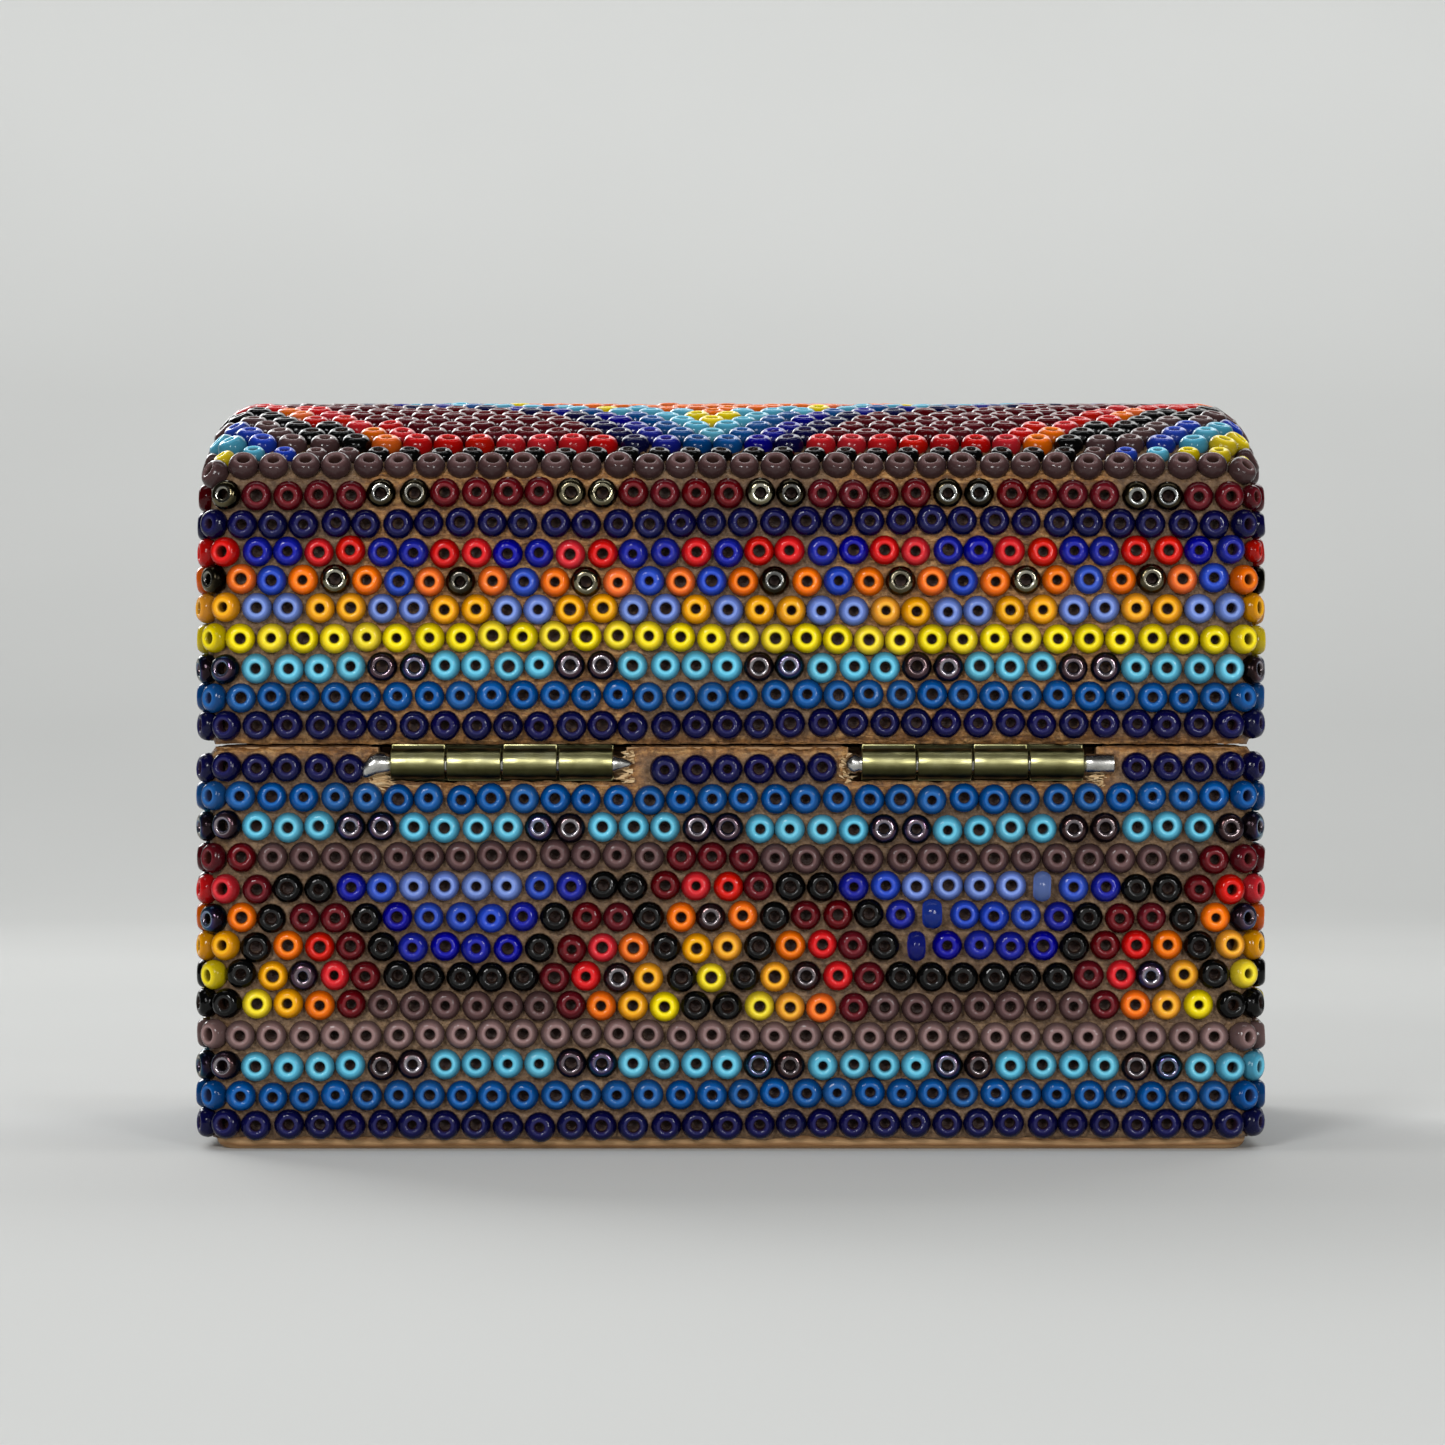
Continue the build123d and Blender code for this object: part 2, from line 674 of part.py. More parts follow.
def all_beads():
    """Every bead on the base and on the lid."""
    write_beads("base", grouped((colour, place, False) for colour, place in base_beads()))
    beads = lid_top_beads()
    centres = [tuple(centre_of(place)) for _, place, _ in beads if abs(place.origin.X) > FLAT_X - WALL]
    upper = LID_FIRST_ROW + LID_ROW_PITCH * (LID_ROWS - 3)
    for colour, place in lid_wall_beads():
        if place.origin.Z < upper or not too_close(place, centres):
            beads.append((colour, place, False))
            centres.append(tuple(centre_of(place)))
    write_beads("lid", grouped(beads + fill_ends(centres)))


os.makedirs("parts", exist_ok=True)
base_floor()
base_walls()
lid_rails()
wax_coats()
hinges()
all_beads()
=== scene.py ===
"""Looks of the beaded hinged box: glass beads, wax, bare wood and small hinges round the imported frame.

Blender's unit is the metre. Sizes and places on the box are in millimetres here and go through MM. Those of
the backdrop and the lights are in metres.
"""

import json
import math

import bmesh
import bpy
import numpy as np
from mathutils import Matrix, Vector, noise
from mathutils.bvhtree import BVHTree
from mathutils.kdtree import KDTree


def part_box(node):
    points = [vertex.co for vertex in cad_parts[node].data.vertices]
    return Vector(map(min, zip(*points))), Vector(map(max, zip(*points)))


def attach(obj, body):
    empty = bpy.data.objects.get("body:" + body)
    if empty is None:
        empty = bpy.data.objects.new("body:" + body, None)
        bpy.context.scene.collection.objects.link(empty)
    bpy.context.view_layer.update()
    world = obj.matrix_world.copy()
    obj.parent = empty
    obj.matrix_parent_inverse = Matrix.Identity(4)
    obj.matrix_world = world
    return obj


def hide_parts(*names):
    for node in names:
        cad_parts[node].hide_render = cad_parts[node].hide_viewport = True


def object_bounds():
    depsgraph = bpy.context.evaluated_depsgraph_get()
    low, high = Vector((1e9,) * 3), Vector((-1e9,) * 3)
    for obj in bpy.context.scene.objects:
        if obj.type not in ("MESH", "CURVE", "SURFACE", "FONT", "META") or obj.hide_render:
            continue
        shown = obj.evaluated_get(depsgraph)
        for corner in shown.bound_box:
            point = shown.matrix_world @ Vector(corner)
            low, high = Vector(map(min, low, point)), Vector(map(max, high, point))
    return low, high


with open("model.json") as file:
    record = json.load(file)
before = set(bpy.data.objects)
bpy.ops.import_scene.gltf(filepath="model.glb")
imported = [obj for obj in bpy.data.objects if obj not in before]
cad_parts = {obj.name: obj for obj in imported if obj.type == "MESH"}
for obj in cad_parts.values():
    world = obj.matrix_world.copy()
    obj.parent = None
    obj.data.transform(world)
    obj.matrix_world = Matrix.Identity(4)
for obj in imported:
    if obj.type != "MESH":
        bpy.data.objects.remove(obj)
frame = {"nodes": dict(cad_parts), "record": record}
CAD_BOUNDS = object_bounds()
BODIES = frame["record"]["behaviour"]["bodies"]
BODY_OF = {node: body for body, nodes in BODIES.items() for node in nodes}
MM = 0.001
RNG = np.random.default_rng(11)

# ---- seed beads ----
BEAD_HALF_HEIGHT = 0.65
BEAD_SEGMENTS = 18
# Distance from the hole's middle and height, once round the ring's section.
BEAD_PROFILE = np.array((
    (0.345, -0.36), (0.345, 0.36), (0.385, 0.55), (0.47, 0.64), (0.59, 0.665), (0.74, 0.62),
    (0.89, 0.50), (1.01, 0.29), (1.065, 0.0), (1.01, -0.29), (0.89, -0.50), (0.74, -0.62),
    (0.59, -0.665), (0.47, -0.64), (0.385, -0.55),
))
# How beads differ from one another: middle value, deviation, lowest and highest.
BEAD_STRAY = (0.0, 0.04, -0.08, 0.08)
BEAD_LEAN = (0.0, 0.035, -0.09, 0.09)
BEAD_WIDTH = (1.02, 0.010, 0.995, 1.035)
BEAD_LENGTH = (1.0, 0.05, 0.9, 1.1)
BEAD_BORE = (1.0, 0.09, 0.8, 1.18)
BEAD_OVAL = 0.008
# Points of a CAD bead that are nearer its middle than this times the nearest one's distance rim its hole.
HOLE_RIM = 1.14
UV_MARGIN = 0.08

# ---- smaller beads in the gaps at the lid's ends ----
BEAD_SEAT = 0.1
BEAD_REACH = 1.075
SQUEEZED_ABOVE = 41.4
SQUEEZED_INSET = 1.0
SQUEEZED_ROOM = 1.87
# Colour and the height that it goes up to.
SQUEEZED_COLOURS = (("red", 43.5), ("navy", 45.4), ("maroon", 47.2), ("mauve", 60.0))

# ---- glass ----
# Painted shade on a bead's rounded side, and a painted highlight on the flat ring round its hole.
RIM_SHADE = 0.46
RING_HIGHLIGHT = 0.013
GLASS_SHINE = 0.22
# Dark brown painted shade down a bead's hole.
HOLE_SHADE_BROWN = (0.024, 0.009, 0.005)
BEAD_COLOURS = {
    "navy": (0.003, 0.003, 0.055),
    "mid_blue": (0.004, 0.082, 0.30),
    "light_blue": (0.10, 0.46, 0.66),
    "mauve": (0.098, 0.050, 0.050),
    "pale_mauve": (0.21, 0.125, 0.12),
    "maroon": (0.105, 0.002, 0.006),
    "red": (0.62, 0.004, 0.006),
    "orange": (0.93, 0.15, 0.002),
    "amber": (0.92, 0.36, 0.002),
    "yellow": (0.93, 0.70, 0.001),
    "royal": (0.003, 0.006, 0.27),
    "cobalt": (0.016, 0.055, 0.44),
    "periwinkle": (0.14, 0.22, 0.60),
    "black": (0.002, 0.002, 0.002),
}
IRIS_STOPS = (
    (0.0, (0.10, 0.05, 0.05)), (0.3, (0.16, 0.09, 0.13)), (0.5, (0.05, 0.05, 0.22)),
    (0.7, (0.02, 0.16, 0.28)), (0.9, (0.20, 0.16, 0.10)),
)
METALLIC_STOPS = (
    (0.0, (0.05, 0.04, 0.025)), (0.35, (0.16, 0.13, 0.07)), (0.6, (0.38, 0.34, 0.20)),
    (0.85, (0.55, 0.52, 0.36)), (1.0, (0.30, 0.24, 0.14)),
)

# ---- box ----
HALF_LENGTH = -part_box("base_left_wall")[0].x / MM
HALF_DEPTH = 24.0
CORNER = 1.8
BASE_TOP = 28.5
LID_BOTTOM = 28.75
WORN_EDGE = 0.16

# ---- wax ----
WAX_STEP = 0.34
LID_WAX_STEP = 1.06 * WAX_STEP
LID_WAX_ROWS = 112
LID_RAYS = 70
LID_RAY_FOOT = 29.2
LID_RAY_LENGTH = 120.0
WAX_BODY = 0.24
WAX_CAD = 0.3
WAX_ROOT = -0.05
WAX_FOOT = 0.8
WAX_LUMPS = 0.06
# Wax rises in a lip round each bead and gets painted shade where it shows through the hole.
LIP_RISE = 0.30
LIP_RADIUS = 1.0
LIP_WIDTH = 0.22
BEAD_ZONE = 1.6
HOLLOW_RADIUS = 0.62
HOLLOW_EDGE = 0.12
SEAM_MIDDLE = BASE_TOP + 0.1
SEAM_LUMPS = 0.16
SEAM_SPREAD = 1.1
SEAM_WAVER = 0.34
# Distance in from the base's outer face and height above its rim, across the line of squeezed-out wax.
RIM_STEP = 0.5
RIM_SECTION = ((0.25, -0.15), (0.40, 0.10), (0.75, 0.17), (1.3, 0.18), (1.7, 0.11), (1.95, -0.15))

# ---- hinges ----
HINGE_CENTRES = {"left": -17.1, "right": 16.2}
HINGE_Y = 24.6
HINGE_Z = 27.35
KNUCKLES = 4
KNUCKLE = 3.82
KNUCKLE_GAP = 0.14
KNUCKLE_LIP = 0.07
ROLL_SEAM = {"base": math.radians(160), "lid": math.radians(205)}
ROLL_SEAM_DEPTH = 0.16
ROLL_SEAM_SPREAD = 0.11
BARREL_RADIUS = 1.07
BORE_RADIUS = 0.66
LEAF_Z = {"base": 26.12, "lid": 28.2}
LEAF = 0.5
LEAF_BACK = 20.4
LEAF_RELIEF = 0.16
LEAF_EDGE = 0.07
HARD_EDGE = math.radians(50)
NOTCH_HALF = 8.8
NOTCH_FLOOR = 25.8
# How far the wax stays back from a notch's sides and its floor.
NOTCH_SIDE_GAP = 0.25
NOTCH_FLOOR_GAP = 0.12
NOT_NEAR_NOTCH = -10.0

# Distance along the pin from the hinge's middle, and radius: one pin is pointed and hooked, one cut square.
PIN_RADIUS = 0.62
HOOK_START = 8.2
PIN_OUTLINES = {
    "right": (
        (-9.25, 0.0), (-9.22, 0.10), (-8.9, 0.28), (-8.45, 0.46), (-8.2, 0.52), (-7.95, PIN_RADIUS),
        (0.0, PIN_RADIUS), (7.9, PIN_RADIUS), (8.1, 0.70), (8.5, 0.80), (8.9, 0.84), (9.3, 0.82),
        (9.6, 0.72), (9.8, 0.55), (9.92, 0.34), (9.97, 0.15), (9.98, 0.0),
    ),
    "left": (
        (-10.05, 0.0), (-10.05, 0.55), (-9.98, 0.68), (-9.5, 0.72), (-8.6, 0.70), (-8.0, 0.70),
        (-7.9, PIN_RADIUS), (0.0, PIN_RADIUS), (7.95, PIN_RADIUS), (8.05, 0.58), (8.35, 0.74),
        (8.6, 0.66), (8.85, 0.48), (8.95, 0.36), (8.95, 0.0),
    ),
}

# ---- torn wood at the ends of the hinge notches ----
# Hinge, end, lowest and highest start, number of fibres, longest.
TORN_ENDS = (
    ("right", 1, 25.75, 27.0, 110, 1.5), ("right", -1, 26.0, 28.2, 60, 0.9),
    ("left", -1, 25.9, 27.6, 45, 0.7), ("left", 1, 26.0, 28.0, 45, 0.7),
)
TORN_OUTSIDE = 0.2
TORN_INSET, TORN_BAND = 0.55, 0.9
FIBRE_WIDTHS = (0.06, 0.17)
# Share of a fibre's length, and share of its width there.
FIBRE_TAPER = ((0, 1.0), (0.35, 0.9), (0.7, 0.55), (1.0, 0.08))

# ---- camera, at the back of the box ----
CAMERA_DISTANCE = 360.0
CAMERA_HEIGHT = 30.25
CAMERA_SIDE = 0.6
VIEW_WIDTH = 101.8
SENSOR_WIDTH = 36.0

# ---- stage, in metres ----
FLOOR_FRONT = 1.6
SWEEP_BACK = 0.9
SWEEP_HALF_WIDTH = 1.3
SWEEP_BEND = 0.5
SWEEP_TOP = 1.6
SWEEP_STEPS = 24
# Metres beyond the box, seen from the camera, and how pale the backdrop is painted there, as painted light
# and shade.
SWEEP_LIGHT_GRADE = ((0.0, 0.78), (0.10, 0.72), (0.40, 0.60), (0.57, 0.59), (0.70, 0.68), (0.82, 0.93))
BOX_MIDDLE = (0.0, 0.0, 0.03)
WALL_MIDDLE = (0.0, -0.90, 0.42)
# Name, place, what it points at, size, power in watts, spread in degrees.
SOFT_LIGHTS = (
    ("light_top", (0.0, -0.58, 0.56), BOX_MIDDLE, (0.9, 0.4), 2.6, 180),
    ("light_far", (0.30, -0.56, 0.34), BOX_MIDDLE, (0.30, 0.25), 0.26, 70),
    ("light_front", (0.0, 0.76, 0.19), BOX_MIDDLE, (0.42, 0.36), 0.22, 180),
    ("light_left", (0.22, 0.66, 0.28), BOX_MIDDLE, (0.15, 0.15), 2.0, 180),
    ("light_right", (-0.26, 0.66, 0.17), BOX_MIDDLE, (0.12, 0.15), 1.35, 180),
    ("light_wall", (0.0, 0.0, 0.80), WALL_MIDDLE, (1.0, 0.4), 3.0, 180),
)
SURROUND_LIGHT = 0.27
SURROUND_IN_GLOSS = 0.04
SURROUND_SEEN = 0.58


# ---------------------------------------------------------------- mesh helpers
def mesh_object(name, points, faces):
    """New smooth object from arrays of points in metres and of faces with equal corner counts."""
    mesh = bpy.data.meshes.new(name)
    corners = faces.shape[1]
    mesh.vertices.add(len(points))
    mesh.vertices.foreach_set("co", np.asarray(points, np.float32).ravel())
    mesh.loops.add(faces.size)
    mesh.loops.foreach_set("vertex_index", faces.ravel().astype(np.int32))
    mesh.polygons.add(len(faces))
    mesh.polygons.foreach_set("loop_start", np.arange(0, faces.size, corners, dtype=np.int32))
    mesh.polygons.foreach_set("use_smooth", np.full(len(faces), True))
    mesh.update(calc_edges=True)
    mesh.validate()
    piece = bpy.data.objects.new(name, mesh)
    bpy.context.scene.collection.objects.link(piece)
    return piece


def bmesh_object(name, shape, smooth=True):
    """New object from a finished bmesh."""
    mesh = bpy.data.meshes.new(name)
    shape.normal_update()
    shape.to_mesh(mesh)
    shape.free()
    if smooth:
        mesh.polygons.foreach_set("use_smooth", np.full(len(mesh.polygons), True))
    piece = bpy.data.objects.new(name, mesh)
    bpy.context.scene.collection.objects.link(piece)
    return piece


def store(mesh, name, values):
    """Keep one number per point for the materials."""
    layer = mesh.attributes.new(name, "FLOAT", "POINT")
    layer.data.foreach_set("value", np.asarray(values, np.float32))


def node_arrays(node):
    """Welded points and triangles of a CAD node."""
    mesh = frame["nodes"][node].data
    points = np.zeros(len(mesh.vertices) * 3)
    mesh.vertices.foreach_get("co", points)
    points = points.reshape(-1, 3)
    mesh.calc_loop_triangles()
    triangles = np.zeros(len(mesh.loop_triangles) * 3, np.int64)
    mesh.loop_triangles.foreach_get("vertices", triangles)
    microns = np.round(points * 1e6).astype(np.int64)
    _, first, same = np.unique(microns, axis=0, return_index=True, return_inverse=True)
    return points[first], same.ravel()[triangles].reshape(-1, 3)


def point_tree(points):
    """A search tree over points."""
    tree = KDTree(len(points))
    for number, point in enumerate(points):
        tree.insert(point, number)
    tree.balance()
    return tree


def noise_at(points, scale, shift=(0, 0, 0)):
    """Smooth noise at each point, from -1 to 1."""
    return np.array([noise.noise(Vector(point) * scale + Vector(shift)) for point in points])


def waver(plan, height, scale):
    """Smooth noise along a line round the box; height picks one of many such lines."""
    return noise_at([(x, y, height) for x, y in plan], scale)


# ---------------------------------------------------------------- material helpers
class Paint:
    """Short way to build one node material."""

    def __init__(self, name):
        self.material = bpy.data.materials.new(name)
        self.material.use_nodes = True
        self.tree = self.material.node_tree
        self.tree.nodes.clear()
        self.surface = self.add("ShaderNodeBsdfPrincipled")
        output = self.add("ShaderNodeOutputMaterial")
        self.tree.links.new(self.surface.outputs[0], output.inputs[0])

    def add(self, kind, **settings):
        """One node with its settings."""
        node = self.tree.nodes.new(kind)
        for key, value in settings.items():
            setattr(node, key, value)
        return node

    def put(self, node, socket, value):
        """Set a socket to a value, or link it to another node's output."""
        target = node.inputs[socket]
        if hasattr(value, "links"):
            self.tree.links.new(value, target)
        else:
            target.default_value = value

    def look(self, **sockets):
        """Set sockets of the surface shader by name, with underscores for spaces."""
        for key, value in sockets.items():
            self.put(self.surface, key.replace("_", " "), value)

    def attribute(self, name, output="Fac"):
        """A stored attribute's output."""
        return self.add("ShaderNodeAttribute", attribute_name=name).outputs[output]

    def place(self, scale=(1, 1, 1)):
        """Object coordinates in millimetres, stretched by scale."""
        where = self.add("ShaderNodeTexCoord")
        mapping = self.add("ShaderNodeMapping")
        self.put(mapping, "Vector", where.outputs["Object"])
        mapping.inputs["Scale"].default_value = [value / MM for value in scale]
        return mapping.outputs[0]

    def noise(self, where, scale, detail=4.0, roughness=0.55, distortion=0.0):
        """A noise factor."""
        node = self.add("ShaderNodeTexNoise")
        self.put(node, "Vector", where)
        self.put(node, "Scale", scale)
        self.put(node, "Detail", detail)
        self.put(node, "Roughness", roughness)
        self.put(node, "Distortion", distortion)
        return node.outputs[0]

    def ramp(self, factor, *stops):
        """A colour ramp through (position, colour) stops."""
        node = self.add("ShaderNodeValToRGB")
        self.put(node, "Fac", factor)
        elements = node.color_ramp.elements
        while len(elements) < len(stops):
            elements.new(0.5)
        for element, (position, colour) in zip(elements, stops):
            element.position = position
            element.color = (*colour, 1)
        return node.outputs[0]

    def rise(self, factor, low, high):
        """0 below low, 1 above high."""
        return self.ramp(factor, (low, (0, 0, 0)), (high, (1, 1, 1)))

    def span(self, factor, low, high):
        """Map a 0 to 1 factor onto low to high."""
        node = self.add("ShaderNodeMapRange")
        self.put(node, "Value", factor)
        self.put(node, "To Min", low)
        self.put(node, "To Max", high)
        return node.outputs[0]

    def maths(self, kind, *values):
        """One arithmetic node."""
        node = self.add("ShaderNodeMath", operation=kind)
        for socket, value in enumerate(values):
            self.put(node, socket, value)
        return node.outputs[0]

    def mix(self, factor, one, other, blend="MIX"):
        """Blend two colours."""
        node = self.add("ShaderNodeMix", data_type="RGBA", blend_type=blend)
        for socket, value in ((0, factor), (6, one), (7, other)):
            if isinstance(value, tuple):
                value = (*value, 1)
            self.put(node, socket, value)
        return node.outputs[2]

    def bump(self, height, depth, after=None):
        """A bump of the given depth in millimetres."""
        node = self.add("ShaderNodeBump")
        self.put(node, "Height", height)
        self.put(node, "Distance", depth * MM)
        if after is not None:
            self.put(node, "Normal", after)
        return node.outputs[0]

    def bead_draws(self):
        """Three numbers from 0 to 1 that differ from bead to bead."""
        split = self.add("ShaderNodeSeparateColor")
        self.put(split, "Color", self.attribute("bead_tint", "Color"))
        return split.outputs


# ---------------------------------------------------------------- materials
def glass_paint(slot, colour):
    """Opaque glass: it varies from bead to bead, with painted shade on its rounded side and down the hole,
    and a painted highlight on the flat ring round the hole.
    """
    paint = Paint(slot)
    draws = paint.bead_draws()
    cloud = paint.noise(paint.place(), 0.9, 3.0)
    tone = paint.add("ShaderNodeHueSaturation")
    paint.put(tone, "Color", (*colour, 1))
    paint.put(tone, "Hue", paint.span(draws[1], 0.497, 0.503))
    paint.put(tone, "Saturation", paint.span(draws[1], 0.97, 1.02))
    paint.put(tone, "Value", paint.span(draws[0], 0.88, 1.10))
    darker = tuple(c * 0.5 for c in colour)
    streaks = paint.mix(paint.span(cloud, 0.0, 0.18), tone.outputs[0], darker)
    face = paint.attribute("bead_face")
    # Painted shade: the rounded side of each bead darker than its flat ring.
    shaded_rim = paint.mix(1.0, streaks, paint.span(face, RIM_SHADE, 1.10), "MULTIPLY")
    # Painted highlight on the flat ring round the hole, broken into patches and screened over the colour.
    patches = paint.span(paint.noise(paint.place(), 1.1, 2.0), 0.5, 1.2)
    highlight_ring = paint.maths("MULTIPLY", flat_ring(paint, face), patches)
    highlight_colour = tuple(0.40 * c + RING_HIGHLIGHT for c in colour)
    highlighted = paint.mix(highlight_ring, shaded_rim, highlight_colour, "SCREEN")
    hole = paint.attribute("bead_hole")
    # Painted shade down the hole: the glass there turns nearly to dark brown.
    bottom = tuple(0.06 * c + brown for c, brown in zip(colour, HOLE_SHADE_BROWN))
    pits = paint.noise(paint.place(), 2.6, 2.0)
    paint.look(
        Base_Color=paint.mix(paint.span(hole, 0.0, 0.85), highlighted, bottom),
        Roughness=paint.span(draws[2], 0.09, 0.17),
        Specular_IOR_Level=paint.span(hole, GLASS_SHINE, 0.04),
        Normal=paint.bump(pits, 0.035),
    )
    return paint.material


def flat_ring(paint, face):
    """1 on the flat ring round a bead's hole, 0 on its rounded side."""
    return paint.rise(face, 0.80, 0.97)


def iris_paint(slot, stops, metal):
    """Dark glass under a thin metallic film whose colour turns with the angle and from bead to bead, with
    painted shade on its rounded side and a painted highlight on the flat ring round the hole.
    """
    paint = Paint(slot)
    draws = paint.bead_draws()
    facing = paint.add("ShaderNodeLayerWeight")
    facing.inputs["Blend"].default_value = 0.42
    drift = paint.noise(paint.place(), 0.8, 2.0)
    turn = paint.maths("ADD", paint.span(draws[0], -0.25, 0.45), paint.span(drift, -0.15, 0.25))
    film = paint.ramp(paint.maths("ADD", facing.outputs["Facing"], turn), *stops)
    face = paint.attribute("bead_face")
    # Painted shade on the rounded side.
    shaded_side = paint.mix(1.0, film, paint.span(face, 0.10, 0.80), "MULTIPLY")
    # Painted highlight colour for the flat ring: the film screened towards pale grey.
    bright = paint.mix(0.75, film, (0.30, 0.33, 0.35), "SCREEN")
    highlight_ring = paint.maths("MULTIPLY", flat_ring(paint, face), paint.span(draws[1], 0.15, 1.0))
    highlighted = paint.mix(highlight_ring, shaded_side, bright)
    hole = paint.attribute("bead_hole")
    pits = paint.noise(paint.place(), 2.2, 2.0)
    paint.look(
        # Painted shade down the hole, in dark brown.
        Base_Color=paint.mix(paint.span(hole, 0.0, 0.95), highlighted, HOLE_SHADE_BROWN),
        Metallic=metal,
        Roughness=paint.span(draws[2], 0.13, 0.24),
        Normal=paint.bump(pits, 0.03),
    )
    return paint.material


def bead_paint(colour):
    """The material of one bead colour."""
    slot = f"beads_{colour}"
    if colour == "iris":
        return iris_paint(slot, IRIS_STOPS, 0.85)
    if colour == "metallic":
        return iris_paint(slot, METALLIC_STOPS, 1.0)
    return glass_paint(slot, BEAD_COLOURS[colour])


def wax_paint():
    """Tan beeswax: scuffed and flecked, honey-coloured along the seam, with painted shade at the bottom of
    bead holes.
    """
    paint = Paint("wax")
    where = paint.place()
    broad = paint.noise(where, 0.16, 5.0)
    fine = paint.noise(where, 1.9, 8.0, 0.7)
    scuffs = paint.noise(paint.place((0.3, 0.3, 1.6)), 1.5, 6.0, 0.65, 0.6)
    tan = paint.ramp(
        broad, (0.25, (0.11, 0.056, 0.024)), (0.5, (0.205, 0.115, 0.054)), (0.78, (0.34, 0.21, 0.105))
    )
    honey = paint.ramp(
        scuffs, (0.28, (0.10, 0.036, 0.010)), (0.5, (0.40, 0.175, 0.045)), (0.72, (0.68, 0.38, 0.13))
    )
    near_seam = paint.mix(paint.attribute("wax_seam"), tan, honey)
    light = paint.mix(paint.span(scuffs, -0.45, 0.75), near_seam, (0.56, 0.40, 0.24), "SCREEN")
    pale = paint.mix(0.36, near_seam, light)
    flecked = paint.mix(paint.rise(fine, 0.42, 0.60), pale, (0.050, 0.020, 0.008))
    worn = paint.mix(0.68, pale, flecked)
    lumps = paint.bump(paint.noise(where, 1.1, 5.0), 0.30)
    drawn = paint.bump(scuffs, 0.22, lumps)
    paint.look(
        # Painted shade at the bottom of bead holes, and along the rim wax in the seam under the lid.
        Base_Color=paint.mix(paint.attribute("wax_painted_shade"), worn, (0.040, 0.014, 0.008)),
        Roughness=paint.span(fine, 0.26, 0.62),
        Normal=paint.bump(fine, 0.07, drawn),
    )
    return paint.material


def wood_paint(along):
    """Bare softwood: growth rings and fine fibres stretched along the board, darker in patches."""
    paint = Paint(f"wood_along_{along}")
    stretch = {"x": (0.12, 1, 1), "y": (1, 0.12, 1)}[along]
    where = paint.place(stretch)
    warp = paint.noise(where, 0.22, 3.0)
    rings = paint.add("ShaderNodeTexWave", wave_type="BANDS", bands_direction="Z")
    paint.put(rings, "Vector", where)
    paint.put(rings, "Scale", 0.55)
    paint.put(rings, "Distortion", 5.0)
    paint.put(rings, "Detail", 3.0)
    fibres = paint.noise(paint.place(tuple(4 * value for value in stretch)), 1.4, 6.0, 0.7)
    grain = paint.mix(rings.outputs["Fac"], (0.66, 0.42, 0.20), (0.36, 0.18, 0.065))
    blotched = paint.mix(paint.span(warp, 0.0, 0.55), grain, (0.30, 0.15, 0.05))
    relief = paint.bump(rings.outputs["Fac"], 0.05)
    paint.look(
        Base_Color=paint.mix(paint.span(fibres, 0.0, 0.5), blotched, (0.16, 0.075, 0.03)),
        Roughness=paint.span(fibres, 0.45, 0.78),
        Normal=paint.bump(fibres, 0.10, relief),
    )
    return paint.material


def torn_paint():
    """Fresh pale wood where it broke, with darker strands between the fibres."""
    paint = Paint("wood_torn")
    strands = paint.noise(paint.place((0.4, 2.5, 2.5)), 2.2, 5.0, 0.7)
    tips = paint.noise(paint.place(), 1.3, 3.0)
    pale = paint.ramp(
        strands, (0.3, (0.36, 0.20, 0.08)), (0.5, (0.70, 0.49, 0.25)), (0.7, (0.92, 0.76, 0.50))
    )
    paint.look(
        Base_Color=paint.mix(paint.span(tips, 0.0, 0.35), pale, (0.34, 0.17, 0.06)),
        Roughness=paint.span(strands, 0.5, 0.8),
        Normal=paint.bump(strands, 0.08),
    )
    return paint.material


def brass_paint(name, tone, rough):
    """Thin rolled olive brass: drawing marks along it, tarnish in patches, and painted light by facing:
    painted shade below and on top, a painted highlight band between.
    """
    paint = Paint(name)
    drawn = paint.noise(paint.place((0.18, 1, 1)), 3.4, 5.0, 0.6)
    stain = paint.noise(paint.place(), 0.5, 5.0)
    dull, olive, bright, scratch = (
        tuple(tone * c for c in colour)
        for colour in ((0.40, 0.38, 0.17), (0.66, 0.63, 0.32), (0.82, 0.80, 0.50), (0.16, 0.14, 0.05))
    )
    stained = paint.ramp(stain, (0.3, dull), (0.55, olive), (0.75, bright))
    scratched = paint.mix(paint.span(drawn, 0.0, 0.45), stained, scratch)
    # Painted light by the way the surface faces: painted shade below and on top, a painted highlight band
    # on faces tilted a little upward.
    split = paint.add("ShaderNodeSeparateXYZ")
    paint.put(split, "Vector", paint.add("ShaderNodeTexCoord").outputs["Normal"])
    facing_up = paint.maths("MULTIPLY_ADD", split.outputs["Z"], 0.5, 0.5)
    painted_light_band = paint.ramp(
        facing_up, (0.0, (0.03, 0.03, 0.02)), (0.30, (0.13, 0.13, 0.10)), (0.48, (0.42, 0.42, 0.38)),
        (0.66, (1, 1, 1)), (0.80, (0.85, 0.85, 0.80)), (0.90, (0.22, 0.22, 0.18)),
        (1.0, (0.06, 0.06, 0.04)),
    )
    paint.look(
        Base_Color=paint.mix(1.0, scratched, painted_light_band, "MULTIPLY"),
        Metallic=0.97,
        Roughness=paint.span(drawn, rough, rough + 0.20),
        Normal=paint.bump(drawn, 0.02),
    )
    return paint.material


